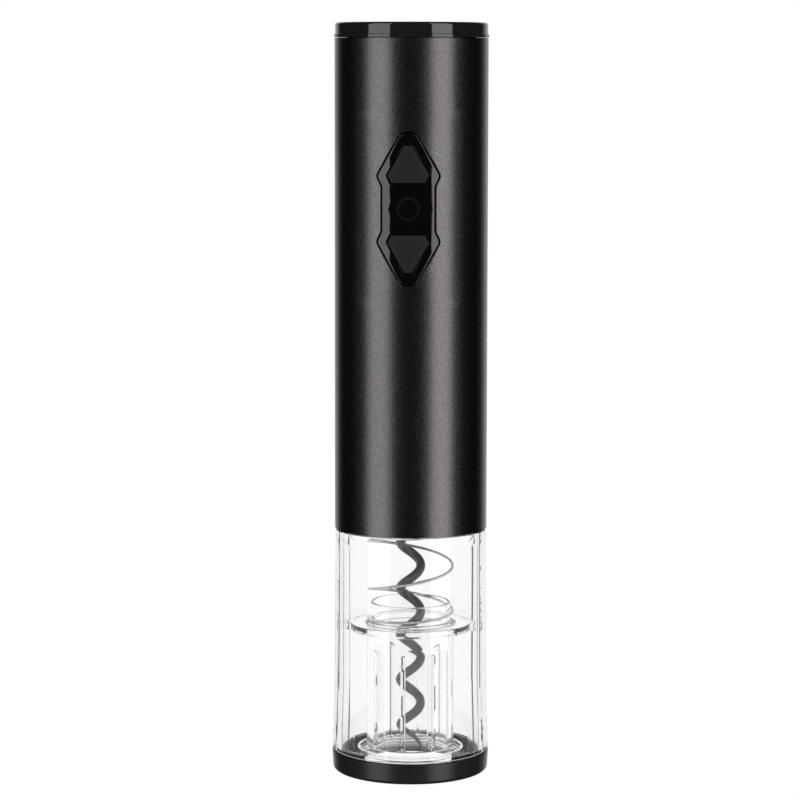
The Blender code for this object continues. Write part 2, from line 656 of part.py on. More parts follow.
def make_cork_sleeve():
    """Finned sleeve round the worm, flange with two lugs, and a rim that centres the spring."""
    low = sleeve_z
    step = low + FIN_LENGTH
    edge = SLEEVE_EDGE
    flange_top = flange_z + FLANGE_THICK
    top = lip_z + RIM_HEIGHT
    profile = [(sleeve_r - edge, low), (sleeve_r, low + edge), (sleeve_r, flange_z), (flange_r, flange_z),
               (flange_r, flange_top), (lip_r, flange_top), (lip_r, lip_z), (rim_r, lip_z), (rim_r, top),
               (rim_bore, top), (rim_bore, step), (SLEEVE_BORE, step - SLEEVE_STEP), (SLEEVE_BORE, low)]
    sleeve = turned("cork_sleeve", profile, SLEEVE_SIDES, mat=clear_plastic)
    fins = []
    for i in range(FIN_COUNT):
        fin = block("fin", (SLEEVE_BORE - FIN_DEPTH, -FIN_THICK / 2, low + edge),
                    (SLEEVE_BORE + FIN_SUNK, FIN_THICK / 2, step - 2 * SLEEVE_STEP))
        fin.data.transform(Matrix.Rotation(FIN_TURN + TAU * i / FIN_COUNT, 4, "Z"))
        fins.append(fin)
    boolean(sleeve, group("sleeve fins", fins), "UNION")
    inside = (flange_r + lip_r) / 2
    lug_low, lug_high = flange_z + LUG_SET, flange_top - LUG_SET
    profile = [(inside, lug_low), (lug_r, lug_low), (lug_r, lug_high), (inside, lug_high)]
    lugs = [swept("lug", profile, side - LUG_ANGLE, 2 * LUG_ANGLE, 4) for side in (0, math.pi)]
    return boolean(sleeve, group("sleeve lugs", lugs), "UNION")


def spring_height(turn, low, rise_per_radian, total):
    """Height along the spring: the slope grows from nothing over each closing end."""
    ramp = SPRING_CLOSE
    if turn < ramp:
        return low + rise_per_radian * turn * turn / (2 * ramp)
    if turn > total - ramp:
        rest = total - turn
        return low + rise_per_radian * (total - ramp) - rise_per_radian * rest * rest / (2 * ramp)
    return low + rise_per_radian * (turn - ramp / 2)


def make_coil_spring():
    low = lip_z + GAP + SPRING_WIRE / 2
    high = seat_z - GAP - SPRING_WIRE / 2
    slope = SPRING_PITCH / TAU
    total = (high - low) / slope + SPRING_CLOSE
    steps = round(total / TAU * 16)
    points = []
    for i in range(steps + 1):
        turn = total * i / steps
        angle = SPRING_START + turn
        points.append((spring_r * math.cos(angle), spring_r * math.sin(angle),
                       spring_height(turn, low, slope, total)))
    return rod("coil_spring", points, [SPRING_WIRE / 2] * len(points), 0, spring_steel)


def make_worm():
    """A right-handed coil with a tapered point; its upper end runs in to the axis and into the hub."""
    tip = WORM_TIP_UP
    shank = hub_z - SHANK_BELOW
    coil_turns = (shank - tip) / WORM_PITCH * TAU
    steps = round(coil_turns / TAU * 14)
    points = []
    radii = []
    for i in range(steps + 1):
        turn = coil_turns * i / steps
        left = max(0.0, min(1.0, (coil_turns - turn) / WORM_BLEND))
        radius = WORM_R * left * left * (3 - 2 * left)
        angle = WORM_TIP_TURN + turn
        points.append((radius * math.cos(angle), radius * math.sin(angle), tip + WORM_PITCH * turn / TAU))
        taper = min(1.0, turn / WORM_TAPER)
        radii.append(WORM_WIRE / 2 * max(WORM_POINT, taper ** 0.7))
    points.append((0.0, 0.0, hub_z + HUB_WORM_DEPTH - GAP))
    radii.append(WORM_WIRE / 2)
    return rod("worm", points, radii, 1, coated_steel)


def make_worm_hub():
    """The worm's shank sits in the lower bore and the gearbox shaft in the upper one."""
    low = hub_z
    high = hub_z + HUB_LENGTH
    split = low + HUB_WORM_DEPTH
    worm_bore = WORM_WIRE / 2 + GAP
    shaft_bore = OUTPUT_SHAFT_R + GAP
    profile = [(HUB_R - HUB_EDGE, low), (HUB_R, low + HUB_EDGE), (HUB_R, high), (shaft_bore, high),
               (shaft_bore, split), (worm_bore, split), (worm_bore, low)]
    hub = turned("worm_hub", profile, CORE_SIDES, plain_steel)
    turn = Matrix.Translation((0, 0, low + HUB_WORM_DEPTH / 2)) @ Matrix.Rotation(math.radians(90), 4, "Y")
    outline = disc_outline(HUB_SCREW_R + GAP, PIN_SIDES)
    hole = prism("set screw hole", [outline], 0.0, HUB_R + CUT, None, turn)
    boolean(hub, hole, "DIFFERENCE")
    prism("hub_set_screw", [disc_outline(HUB_SCREW_R, PIN_SIDES)], WORM_WIRE / 2 + GAP, HUB_R - HUB_EDGE,
          plain_steel, turn)


def make_spring_seat():
    top = seat_z + SEAT_THICK
    profile = [(seat_bore, seat_z), (spigot_r, seat_z), (spigot_r, top), (seat_bore, top)]
    return turned("spring_seat", profile, SLEEVE_SIDES, black_nylon)


# ---------------------------------------------------------------- gearbox

def gear_outline(teeth, spin, stand_back, inside=False):
    """Teeth as four points each: two nearer the axis and two further out, narrower further out.

    A ring gear's hole is the same shape: its outer points are the tooth spaces, so the depths are swapped.
    """
    pitch_r = MODULE * teeth / 2
    add = TOOTH_OUT * MODULE
    drop = TOOTH_IN * MODULE
    inner_depth, outer_depth = (drop, add) if not inside else (add, drop)
    half_pitch = math.pi / teeth / 2
    slope = math.tan(TOOTH_SLOPE)
    back = stand_back if not inside else -stand_back
    points = []
    for i in range(teeth):
        centre = spin + TAU * i / teeth
        root_r = pitch_r - inner_depth
        tip_r = pitch_r + outer_depth
        root_half = (pitch_r * half_pitch - back + inner_depth * slope) / root_r
        tip_half = (pitch_r * half_pitch - back - outer_depth * slope) / tip_r
        for radius, angle in ((root_r, centre - root_half), (tip_r, centre - tip_half),
                              (tip_r, centre + tip_half), (root_r, centre + root_half)):
            points.append((radius * math.cos(angle), radius * math.sin(angle)))
    return points


def make_gearbox_housing():
    """Floor with the bush bore, and one long ring gear for all three stages."""
    floor = gearbox_z + GEARBOX_FLOOR
    teeth = gear_outline(RING_TEETH, 0.0, BACKLASH, inside=True)
    housing = prism("gearbox_housing", [disc_outline(gearbox_r, CORE_SIDES), teeth],
                    floor - GEARBOX_FLOOR / 4, gearbox_top, black_nylon)
    outer = gearbox_r - RUN
    base = turned("gearbox floor", [(BUSH_R + GAP, gearbox_z), (outer, gearbox_z), (outer, floor),
                                    (BUSH_R + GAP, floor)], CORE_SIDES)
    return boolean(housing, base, "UNION")


def make_output_bush():
    low = gearbox_z + GAP
    high = gearbox_z + GEARBOX_FLOOR
    bore = (OUTPUT_SHAFT_R + RUN) / math.cos(math.pi / CORE_SIDES)
    outlines = [disc_outline(BUSH_R, CORE_SIDES), disc_outline(bore, CORE_SIDES)]
    return prism("output_bush", outlines, low, high, bronze)


def planet_angles():
    return [TAU * i / PLANETS for i in range(PLANETS)]


def make_carrier(name, plate_z, plate_thick, pins_top, below, mat):
    """A plate with three planet pins above and a shaft or a sun gear below it."""
    carrier = turned(name, [(0, plate_z), (carrier_r, plate_z), (carrier_r, plate_z + plate_thick),
                            (0, plate_z + plate_thick)], CORE_SIDES, mat)
    pins = [pin("planet pin", PLANET_PIN_R, plate_z + plate_thick / 2, pins_top,
                planet_at * math.cos(angle), planet_at * math.sin(angle)) for angle in planet_angles()]
    boolean(carrier, group(f"{name} pins", pins), "UNION")
    return boolean(carrier, below, "UNION")


def make_planets(stage_name, low, mat):
    """Each planet stands on its own axis and is turned so that its teeth sit between the sun's."""
    bore = (PLANET_PIN_R + RUN) / math.cos(math.pi / PIN_SIDES)
    mesh_turn = math.pi - math.pi / PLANET_TEETH
    for i, angle in enumerate(planet_angles()):
        outline = gear_outline(PLANET_TEETH, angle + mesh_turn, BACKLASH)
        planet = prism(f"{stage_name}_planet_{i + 1}", [outline, disc_outline(bore, PIN_SIDES)], low,
                       low + PLANET_WIDTH, mat)
        planet.location = (planet_at * math.cos(angle), planet_at * math.sin(angle), 0.0)


def make_gear_train():
    plates = (OUTPUT_PLATE, CARRIER_PLATE, CARRIER_PLATE)
    names = ("output", "middle", "input")
    for i, (stage, plate) in enumerate(zip(names, plates)):
        pins_top = planet_z[i] + PLANET_WIDTH + PIN_PROUD
        if i == 0:
            below = pin("output shaft", OUTPUT_SHAFT_R, hub_z + HUB_WORM_DEPTH + GAP, stage_z[0] + plate / 2,
                        sides=CORE_SIDES)
            mat = plain_steel
        else:
            below = prism(f"{stage} sun", [gear_outline(SUN_TEETH, 0.0, BACKLASH)], planet_z[i - 1],
                          stage_z[i] + plate / 2)
            mat = acetal
        make_carrier(f"{stage}_carrier", stage_z[i], plate, pins_top, below, mat)
        make_planets(stage, planet_z[i], plain_steel if i == 0 else acetal)


# ---------------------------------------------------------------- motor

def make_motor():
    shaft_hole = MOTOR_SHAFT_R + GAP
    prism("motor_pinion", [gear_outline(SUN_TEETH, 0.0, BACKLASH), disc_outline(shaft_hole, PIN_SIDES)],
          planet_z[2], planet_z[2] + PLANET_WIDTH + PIN_PROUD, nickel)
    bell_top = bell_z + BELL_THICK
    pin("motor_shaft", MOTOR_SHAFT_R, planet_z[2], bell_top - GAP, mat=plain_steel)
    plate_hole = BOSS_R + GAP
    plate = prism("motor_plate", [disc_outline(gearbox_r, CORE_SIDES), disc_outline(plate_hole, CORE_SIDES)],
                  motor_plate_z, motor_plate_z + MOTOR_PLATE, plain_steel)
    inner = CAN_R - CAN_WALL
    can_top = can_z + CAN_LENGTH
    boss_z = motor_plate_z + GAP
    screw_top = can_z + CAN_WALL + GAP
    can = turned("motor_can", [(shaft_hole, boss_z), (BOSS_R, boss_z), (BOSS_R, can_z),
                               (CAN_R - CAN_EDGE, can_z), (CAN_R, can_z + CAN_EDGE),
                               (CAN_R, can_top), (inner, can_top), (inner, can_z + CAN_WALL),
                               (shaft_hole, can_z + CAN_WALL)], CORE_SIDES, plain_steel)
    bell = [(shaft_hole, bell_z), (CAN_R, bell_z), (CAN_R, bell_top), (shaft_hole, bell_top)]
    turned("motor_end_bell", bell, CORE_SIDES, black_nylon)
    low = can_z + ARMATURE_UP
    high = low + ARMATURE_LENGTH
    end = high + COMMUTATOR_LENGTH
    turned("motor_armature", [(shaft_hole, low), (ARMATURE_R, low), (ARMATURE_R, high),
                              (COMMUTATOR_R, high + CAN_WALL), (COMMUTATOR_R, end), (shaft_hole, end)],
           CORE_SIDES, copper)
    for side in (0, 1):
        x = MOTOR_SCREW_AT * (1 - 2 * side)
        for piece, bottom in ((plate, motor_plate_z), (can, can_z)):
            hole = pin(f"screw hole {side}", MOTOR_SCREW_R + GAP, bottom - CUT, screw_top + GAP, x)
            boolean(piece, hole, "DIFFERENCE")
        pin(f"motor_screw_{side + 1}", MOTOR_SCREW_R, motor_plate_z, screw_top, x, mat=plain_steel)


# ---------------------------------------------------------------- chassis

def chassis_profile():
    """Outer wall with three ribs that reach the tube, a ledge under the gearbox and one round the motor."""
    low = seat_z + SEAT_THICK + GAP
    wall_in = gearbox_r + GAP
    wall_out = chassis_wall_r
    motor_in = CAN_R + GAP
    high = switch_z - arrow_reach() - BEZEL_FLANGE - 2 * GAP
    middle = (low + high) / 2
    ledge = gearbox_z - GAP
    neck = motor_plate_z + MOTOR_PLATE + GAP
    outside = [(HUB_R + HUB_ROOM, low), (chassis_r, low), (chassis_r, low + CHASSIS_RIB),
               (wall_out, low + CHASSIS_RIB), (wall_out, middle), (chassis_r, middle),
               (chassis_r, middle + CHASSIS_RIB), (wall_out, middle + CHASSIS_RIB),
               (wall_out, high - CHASSIS_RIB), (chassis_r, high - CHASSIS_RIB), (chassis_r, high)]
    inside = [(motor_in, high), (motor_in, high - CHASSIS_RIB), (motor_in, neck), (wall_in, neck),
              (wall_in, ledge), (HUB_R + HUB_ROOM, ledge)]
    return outside + inside


def make_chassis():
    heights = [gearbox_z + up for up in CHASSIS_BOSS_UP]
    sites = [(side * chassis_screw_at, z) for z in heights for side in (1, -1)]
    split = CHASSIS_SPLIT
    for name, start, way in (("chassis_back", 0.0, 1), ("chassis_front", math.pi, -1)):
        half = swept(name, chassis_profile(), start + split, math.pi - 2 * split, CORE_SIDES // 2, 0.0,
                     black_nylon)
        inner = chassis_wall_r - CHASSIS_WALL * 3 / 4
        outer = chassis_screw_at + CHASSIS_BOSS / 2
        bosses = []
        holes = []
        for x, z in sites:
            side = 1 if x > 0 else -1
            edges = sorted((side * inner, side * outer))
            depth = sorted((way * GAP, way * CHASSIS_BOSS))
            bosses.append(block("boss", (edges[0], depth[0], z - CHASSIS_BOSS / 2),
                                (edges[1], depth[1], z + CHASSIS_BOSS / 2)))
            reach = CHASSIS_BOSS + CUT
            holes.append(along_y("hole", CHASSIS_SCREW_R + GAP, -reach, reach, x, z))
        boolean(half, group(f"{name} bosses", bosses), "UNION")
        boolean(half, group(f"{name} holes", holes), "DIFFERENCE")
    for i, (x, z) in enumerate(sites):
        make_chassis_screw(f"chassis_screw_{i + 1}", x, z)


def along_y(name, radius, low, high, x, z, mat=None):
    turn = Matrix.Translation((x, 0, z)) @ Matrix.Rotation(math.radians(-90), 4, "X")
    return prism(name, [disc_outline(radius, PIN_SIDES)], low, high, mat, turn)


def make_chassis_screw(name, x, z):
    """Pan head in front, shank through both bosses."""
    front = -CHASSIS_BOSS - GAP
    data = [(0, front - SCREW_HEAD), (SCREW_HEAD_R, front - SCREW_HEAD), (SCREW_HEAD_R, front),
            (CHASSIS_SCREW_R, front), (CHASSIS_SCREW_R, CHASSIS_BOSS), (0, CHASSIS_BOSS)]
    screw = turned(name, data, PIN_SIDES, plain_steel)
    screw.data.transform(Matrix.Translation((x, 0, z)) @ Matrix.Rotation(math.radians(-90), 4, "X"))
    return screw


# ---------------------------------------------------------------- battery case, cells and contacts

def cell_places():
    """Front left, front right, back left and back right."""
    return [(x, y) for y in cell_y for x in (-cell_x, cell_x)]


def clipped_circle(radius, front, sides):
    """A circle with a flat at y = front."""
    start = math.asin(front / radius)
    sweep = math.pi - 2 * start
    return [(radius * math.cos(start + sweep * i / sides), radius * math.sin(start + sweep * i / sides))
            for i in range(sides + 1)]


def make_battery_case():
    bore = CELL_R + CELL_CLEAR
    outline = clipped_circle(case_r, case_front, SLEEVE_SIDES)
    case = prism("battery_case", [outline], case_z, case_top, grey_abs)
    bores = [pin("cell bore", bore, case_z + CASE_FLOOR, case_top + CUT, x, y, CORE_SIDES)
             for x, y in cell_places()]
    for cutter in bores:
        boolean(case, cutter, "DIFFERENCE")
    foot = case_top - COLLAR_ROOT
    collar = turned("case collar", [(collar_bore, foot), (case_r, foot), (case_r, collar_top),
                                    (collar_bore, collar_top)])
    boolean(case, collar, "UNION")
    post = pin("key post", KEY_POST_R, foot, disc_z + DISC_THICK, 0.0, key_post_y)
    boolean(case, post, "UNION")
    over_ridge = THREAD_THICK + THREAD_PLAY
    lug_z = cover_z - THREAD_DOWN + over_ridge + THREAD_LEAD / 8
    lugs = [thread_ridge(skirt_r + GAP, collar_bore + COLLAR_WALL / 3, TAU * start / THREAD_STARTS + TAU / 8,
                         TAU / 12, lug_z) for start in range(THREAD_STARTS)]
    return boolean(case, group("collar threads", lugs), "UNION")


def make_cells():
    shoulder = cell_top - CELL_NUB
    for i, (x, y) in enumerate(cell_places()):
        profile = [(0, cell_z), (CELL_R, cell_z), (CELL_R, shoulder), (CELL_NUB_R, shoulder),
                   (CELL_NUB_R, cell_top), (0, cell_top)]
        cell = turned(f"cell_{i + 1}", profile, CORE_SIDES, cell_wrap)
        cell.data.transform(Matrix.Translation((x, y, 0)))


def make_lower_contacts():
    """One sprung contact, drawn as its cone, under each cell."""
    low = case_z + CASE_FLOOR + GAP
    high = low + TERMINAL_THICK
    half = STRIP_WIDTH / 2
    names = ("plus_terminal", "minus_terminal", "back_contact_left", "back_contact_right")
    for name, (x, y) in zip(names, cell_places()):
        contact = turned(name, [(0, low), (half, low), (half, high), (CONTACT_TIP_R, cell_z - GAP),
                                (0, cell_z - GAP)], PIN_SIDES, nickel)
        contact.data.transform(Matrix.Translation((x, y, 0)))


def make_cover_contacts():
    """A keyed disc hangs from the cover on a rivet, so the cover turns and the disc does not."""
    high = disc_z + DISC_THICK
    radius = skirt_in - AXIAL_PLAY
    rivet_hole = disc_outline(RIVET_R + GAP, PIN_SIDES)
    key_hole = disc_outline(KEY_POST_R + GAP, PIN_SIDES, 0.0, key_post_y)
    prism("cover_contact_disc", [disc_outline(radius, SLEEVE_SIDES), rivet_hole, key_hole], disc_z, high,
          black_nylon)
    for name, x in (("left_contact_strip", -cell_x), ("right_contact_strip", cell_x)):
        block(name, (x - STRIP_WIDTH / 2, cell_y[0] - STRIP_WIDTH / 2, strip_z),
              (x + STRIP_WIDTH / 2, cell_y[1] + STRIP_WIDTH / 2, strip_z + TERMINAL_THICK), nickel)
    head = 2 * RIVET_R
    end = cover_z + RIVET_INTO
    turned("contact_rivet", [(0, strip_z), (head, strip_z), (head, disc_z - GAP), (RIVET_R, disc_z - GAP),
                             (RIVET_R, end), (0, end)], PIN_SIDES, plain_steel)


# ---------------------------------------------------------------- build

def main():
    clear_scene()
    make_body_tube()
    make_base_ring()
    make_clear_shell()
    make_battery_cover()
    make_switch()
    make_circuit_board()
    make_cork_sleeve()
    make_coil_spring()
    make_worm()
    make_worm_hub()
    make_spring_seat()
    make_output_bush()
    make_gearbox_housing()
    make_gear_train()
    make_motor()
    make_chassis()
    make_battery_case()
    make_cells()
    make_lower_contacts()
    make_cover_contacts()


main()
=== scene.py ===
import json
import math
import bmesh
import bpy
import numpy as np
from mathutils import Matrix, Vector


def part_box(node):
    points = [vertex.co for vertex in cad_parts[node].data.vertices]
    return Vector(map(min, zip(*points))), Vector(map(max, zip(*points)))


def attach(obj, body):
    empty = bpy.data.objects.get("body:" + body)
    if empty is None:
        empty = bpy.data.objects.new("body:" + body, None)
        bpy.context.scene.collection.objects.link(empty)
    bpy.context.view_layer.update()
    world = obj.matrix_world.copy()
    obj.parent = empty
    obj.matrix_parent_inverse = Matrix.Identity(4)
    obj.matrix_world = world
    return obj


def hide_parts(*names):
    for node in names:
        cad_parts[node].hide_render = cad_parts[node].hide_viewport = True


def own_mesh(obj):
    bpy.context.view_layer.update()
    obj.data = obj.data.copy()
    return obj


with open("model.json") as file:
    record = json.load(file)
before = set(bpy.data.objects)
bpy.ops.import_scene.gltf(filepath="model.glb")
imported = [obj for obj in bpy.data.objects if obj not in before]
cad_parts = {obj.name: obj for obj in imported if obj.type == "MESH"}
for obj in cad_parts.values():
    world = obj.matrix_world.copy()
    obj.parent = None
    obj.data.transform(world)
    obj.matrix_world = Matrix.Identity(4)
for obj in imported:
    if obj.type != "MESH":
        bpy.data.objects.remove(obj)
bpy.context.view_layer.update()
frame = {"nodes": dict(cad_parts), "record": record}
mm = 0.001
fullTurn = 2 * math.pi
roundSides = 216


def toLinear(hexCode):
    parts = np.array([int(hexCode[i:i + 2], 16) for i in (1, 3, 5)]) / 255
    return (*np.where(parts <= 0.04045, parts / 12.92, ((parts + 0.055) / 1.055) ** 2.4), 1.0)


def addNode(tree, kind, settings=None, links=None):
    # settings are the node's own values or its sockets' values; links join a socket to (node, output)
    node = tree.nodes.new(kind)
    for key, value in (settings or {}).items():
        if isinstance(key, int) or key in node.inputs:
            node.inputs[key].default_value = value
        else:
            setattr(node, key, value)
    for key, (source, output) in (links or {}).items():
        tree.links.new(source.outputs[output], node.inputs[key])
    return node


def newMaterial(name, sockets):
    mat = bpy.data.materials.new(name)
    mat.use_nodes = True
    tree = mat.node_tree
    shader = tree.nodes["Principled BSDF"]
    for key, value in sockets.items():
        shader.inputs[key].default_value = value
    return mat, tree, shader


def boxSizes(node):
    low, high = (np.array(corner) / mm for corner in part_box(node))
    return low, high


def meshObject(name, parts, smoothAngle=40):
    # parts are (points in mm, faces); doubled points merge and faces turn outwards
    points, faces, count = [], [], 0
    for partPoints, partFaces in parts:
        points.append(partPoints.reshape(-1, 3))
        faces += [tuple(corner + count for corner in face) for face in partFaces]
        count += len(points[-1])
    mesh = bpy.data.meshes.new(name)
    mesh.from_pydata((np.concatenate(points) * mm).tolist(), [], faces)
    data = bmesh.new()
    data.from_mesh(mesh)
    bmesh.ops.remove_doubles(data, verts=data.verts, dist=2e-7)
    bmesh.ops.dissolve_degenerate(data, edges=data.edges, dist=1e-7)
    bmesh.ops.recalc_face_normals(data, faces=data.faces)
    openEdges = sum(not edge.is_manifold for edge in data.edges)
    data.to_mesh(mesh)
    data.free()
    mesh.shade_smooth()
    mesh.set_sharp_from_angle(angle=math.radians(smoothAngle))
    obj = bpy.data.objects.new(name, mesh)
    bpy.context.scene.collection.objects.link(obj)
    print(f"{name}: {len(mesh.polygons)} faces, {openEdges} open edges")
    return obj


def gridFaces(rows, columns, wrapRows=True, wrapColumns=True, keep=None):
    # quads between neighbouring points of a rows x columns grid, in the order row by row
    i = np.arange(rows if wrapRows else rows - 1)[:, None]
    j = np.arange(columns if wrapColumns else columns - 1)[None, :]
    up, over = (i + 1) % rows, (j + 1) % columns
    quads = np.stack([i * columns + j, i * columns + over, up * columns + over, up * columns + j], axis=-1)
    if keep is not None:
        return quads[keep].tolist()
    return quads.reshape(-1, 4).tolist()


def roundCorners(corners, closed=True, steps=4, hold=0.25):
    # corners (a, b, radius): each is cut by an arc of its radius, with a holding point on each side of it
    count = len(corners)
    out = []
    for i, (a, b, radius) in enumerate(corners):
        here = np.array([a, b], float)
        if radius <= 0 or (not closed and i in (0, count - 1)):
            out.append(here[None])
            continue
        before = np.array(corners[i - 1][:2], float) - here
        after = np.array(corners[(i + 1) % count][:2], float) - here
        lengthB, lengthA = np.linalg.norm(before), np.linalg.norm(after)
        u, v = before / lengthB, after / lengthA
        half = math.acos(np.clip(u @ v, -1, 1)) / 2
        reach = min(radius / math.tan(half), 0.49 * lengthB, 0.49 * lengthA)
        true = reach * math.tan(half)
        centre = here + (u + v) / np.linalg.norm(u + v) * true / math.sin(half)
        start, end = here + u * reach - centre, here + v * reach - centre
        turn = math.atan2(start[0] * end[1] - start[1] * end[0], start @ end)
        t = np.linspace(0, 1, steps + 1)[:, None] * turn
        arc = centre + start * np.cos(t) + np.array([-start[1], start[0]]) * np.sin(t)
        if hold and reach + hold < 0.49 * lengthB:
            out.append((here + u * (reach + hold))[None])
        out.append(arc)
        if hold and reach + hold < 0.49 * lengthA:
            out.append((here + v * (reach + hold))[None])
    return np.concatenate(out)


def carryAround(profile, angles, reach=0.0, closed=True, keep=None):
    # (radius, height) carried round Z: x = (radius + reach) cos a, y = (radius + reach) sin a, z = height
    radius = profile[:, :1] + reach + 0 * angles
    height = profile[:, 1:2] + 0 * angles
    points = np.stack([radius * np.cos(angles), radius * np.sin(angles), height], axis=-1)
    return points, gridFaces(len(profile), len(angles), wrapRows=closed, keep=keep)


def carryAlong(path, radii, outward, sides):
    # a circle of each radius square to the path, in axes u (towards outward) and v, with a fan at each end
    tangent = np.gradient(path, axis=0)
    tangent /= np.linalg.norm(tangent, axis=1)[:, None]
    u = outward - (outward * tangent).sum(axis=1)[:, None] * tangent
    u /= np.linalg.norm(u, axis=1)[:, None]
    v = np.cross(tangent, u)
    a = evenAngles(sides)[None, :, None]
    ring = u[:, None] * np.cos(a) + v[:, None] * np.sin(a)
    rows = np.concatenate([np.repeat(path[:1], sides, 0)[None], path[:, None] + ring * radii[:, None, None],
                           np.repeat(path[-1:], sides, 0)[None]])
    return rows, gridFaces(len(rows), sides, wrapRows=False)


def evenAngles(sides):
    return np.arange(sides) * fullTurn / sides


def distinct(values, gap):
    values = np.sort(values)
    return values[np.concatenate([[True], np.diff(values) > gap])]


def anglesWith(even, chosen, near=0.006):
    # the chosen angles, with even ones wherever none of the chosen is near
    chosen = distinct(np.asarray(chosen, float) % fullTurn, 1e-6)
    away = np.abs((evenAngles(even)[:, None] - chosen[None] + math.pi) % fullTurn - math.pi).min(axis=1)
    return np.sort(np.concatenate([chosen, evenAngles(even)[away > near]]))


def outlineAngles(centre, even, *outlines):
    # angles of the outlines' own corners about a centre, mirrored left to right, and even ones between them
    found = []
    for outline in outlines:
        away = outline - centre
        a = np.arctan2(away[:, 1], away[:, 0])
        found += [a, math.pi - a]
    return anglesWith(even, np.concatenate(found))


def polarLoop(outline, centre, angles):
    # where the ray at each angle crosses a closed outline: centre + t d = p + s (q - p), with s from 0 to 1
    d = np.stack([np.cos(angles), np.sin(angles)], axis=-1)[:, None]
    p = outline - centre
    e = np.roll(p, -1, axis=0) - p
    cross = d[..., 0] * e[:, 1] - d[..., 1] * e[:, 0]
    cross = np.where(np.abs(cross) < 1e-12, 1e-12, cross)
    t = (p[:, 0] * e[:, 1] - p[:, 1] * e[:, 0]) / cross
    s = (p[:, 0] * d[..., 1] - p[:, 1] * d[..., 0]) / cross
    t = np.where((t > 0) & (s > -1e-7) & (s < 1 + 1e-7), t, np.inf).min(axis=1)
    return centre + d[:, 0] * t[:, None]


def wrapFront(flat, radius):
    # points (x, z) seen from the front, laid on a cylinder of this radius: y = -sqrt(radius^2 - x^2)
    x = np.clip(flat[..., 0], -radius, radius)
    return np.stack([x, -np.sqrt(np.maximum(radius * radius - x * x, 0)), flat[..., 1]], axis=-1)


def finish(obj, body, slot, mat, *nodes):
    obj.data.materials.append(mat)
    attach(obj, body)
    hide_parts(*nodes)
    return obj


camera = dict(lens=132.85, sensor=36.0, place=(37.1, -925.0, 226.7), aim=(-3.45, 0.0, 118.2), roll=0.09)
cameraData = bpy.data.cameras.new("camera")
cameraData.lens = camera["lens"]
cameraData.sensor_width = camera["sensor"]
cameraObject = bpy.data.objects.new("camera", cameraData)
bpy.context.scene.collection.objects.link(cameraObject)
cameraObject.location = Vector(camera["place"]) * mm
view = Vector(camera["aim"]) * mm - cameraObject.location
cameraObject.rotation_euler = view.to_track_quat("-Z", "Y").to_euler()
cameraObject.rotation_euler.rotate_axis("Z", math.radians(camera["roll"]))
bpy.context.scene.camera = cameraObject
bpy.context.scene.view_settings.view_transform = "Standard"

studio = dict(
    stripDistance=900, stripAzimuths=(-47, 48.5), stripWidths=(560, 520), stripLow=-500, stripHigh=1150,
    stripPower=(7.4, 8.2), backGlow=0.9, backEdge=(0.66, 0.95), dark=0.008, diffuseSky=0.75, seen=1.0,
    floorSize=6000)


def addStrip(azimuth, width, power):
    # a tall softbox that faces the opener; azimuth 0 is straight in front, positive to the right
    low, high = studio["stripLow"], studio["stripHigh"]
    a = math.radians(azimuth)
    lamp = bpy.data.lights.new(f"strip {azimuth}", "AREA")
    lamp.shape = "RECTANGLE"
    lamp.size = width * mm
    lamp.size_y = (high - low) * mm
    lamp.energy = power
    obj = bpy.data.objects.new(lamp.name, lamp)
    bpy.context.scene.collection.objects.link(obj)
    distance = studio["stripDistance"]
    obj.location = Vector((distance * math.sin(a), -distance * math.cos(a), (low + high) / 2)) * mm
    obj.rotation_euler = (math.radians(90), 0, a)
    obj.visible_camera = False
    obj.visible_transmission = False
    return obj


for stripAzimuth, stripWidth, stripPower in zip(studio["stripAzimuths"], studio["stripWidths"],
                                                studio["stripPower"]):
    addStrip(stripAzimuth, stripWidth, stripPower)


def makeWorld():
    # white where it is seen, bright behind the opener in reflections, dark round the sides
    world = bpy.data.worlds.new("studio")
    bpy.context.scene.world = world
    world.use_nodes = True
    tree = world.node_tree
    background = tree.nodes["Background"]
    background.inputs["Color"].default_value = (1, 1, 1, 1)
    place = addNode(tree, "ShaderNodeTexCoord")
    axes = addNode(tree, "ShaderNodeSeparateXYZ", links={0: (place, "Generated")})
    low, high = studio["backEdge"]
    glow = addNode(tree, "ShaderNodeMapRange", {"interpolation_type": "SMOOTHSTEP", "From Min": low,
                   "From Max": high, "To Min": studio["dark"], "To Max": studio["backGlow"]},
                   {"Value": (axes, "Y")})
    # camera rays and rays that have been through clear plastic both see plain white
    path = addNode(tree, "ShaderNodeLightPath")
    diffuse = addNode(tree, "ShaderNodeMix", {3: studio["diffuseSky"]},
                      {0: (path, "Is Diffuse Ray"), 2: (glow, 0)})
    through = addNode(tree, "ShaderNodeMath", {"operation": "MINIMUM", 1: 1.0},
                      {0: (path, "Transmission Depth")})
    seen = addNode(tree, "ShaderNodeMath", {"operation": "MAXIMUM"},
                   {0: (path, "Is Camera Ray"), 1: (through, 0)})
    total = addNode(tree, "ShaderNodeMix", {3: studio["seen"]}, {0: (seen, 0), 2: (diffuse, 0)})
    tree.links.new(total.outputs[0], background.inputs["Strength"])


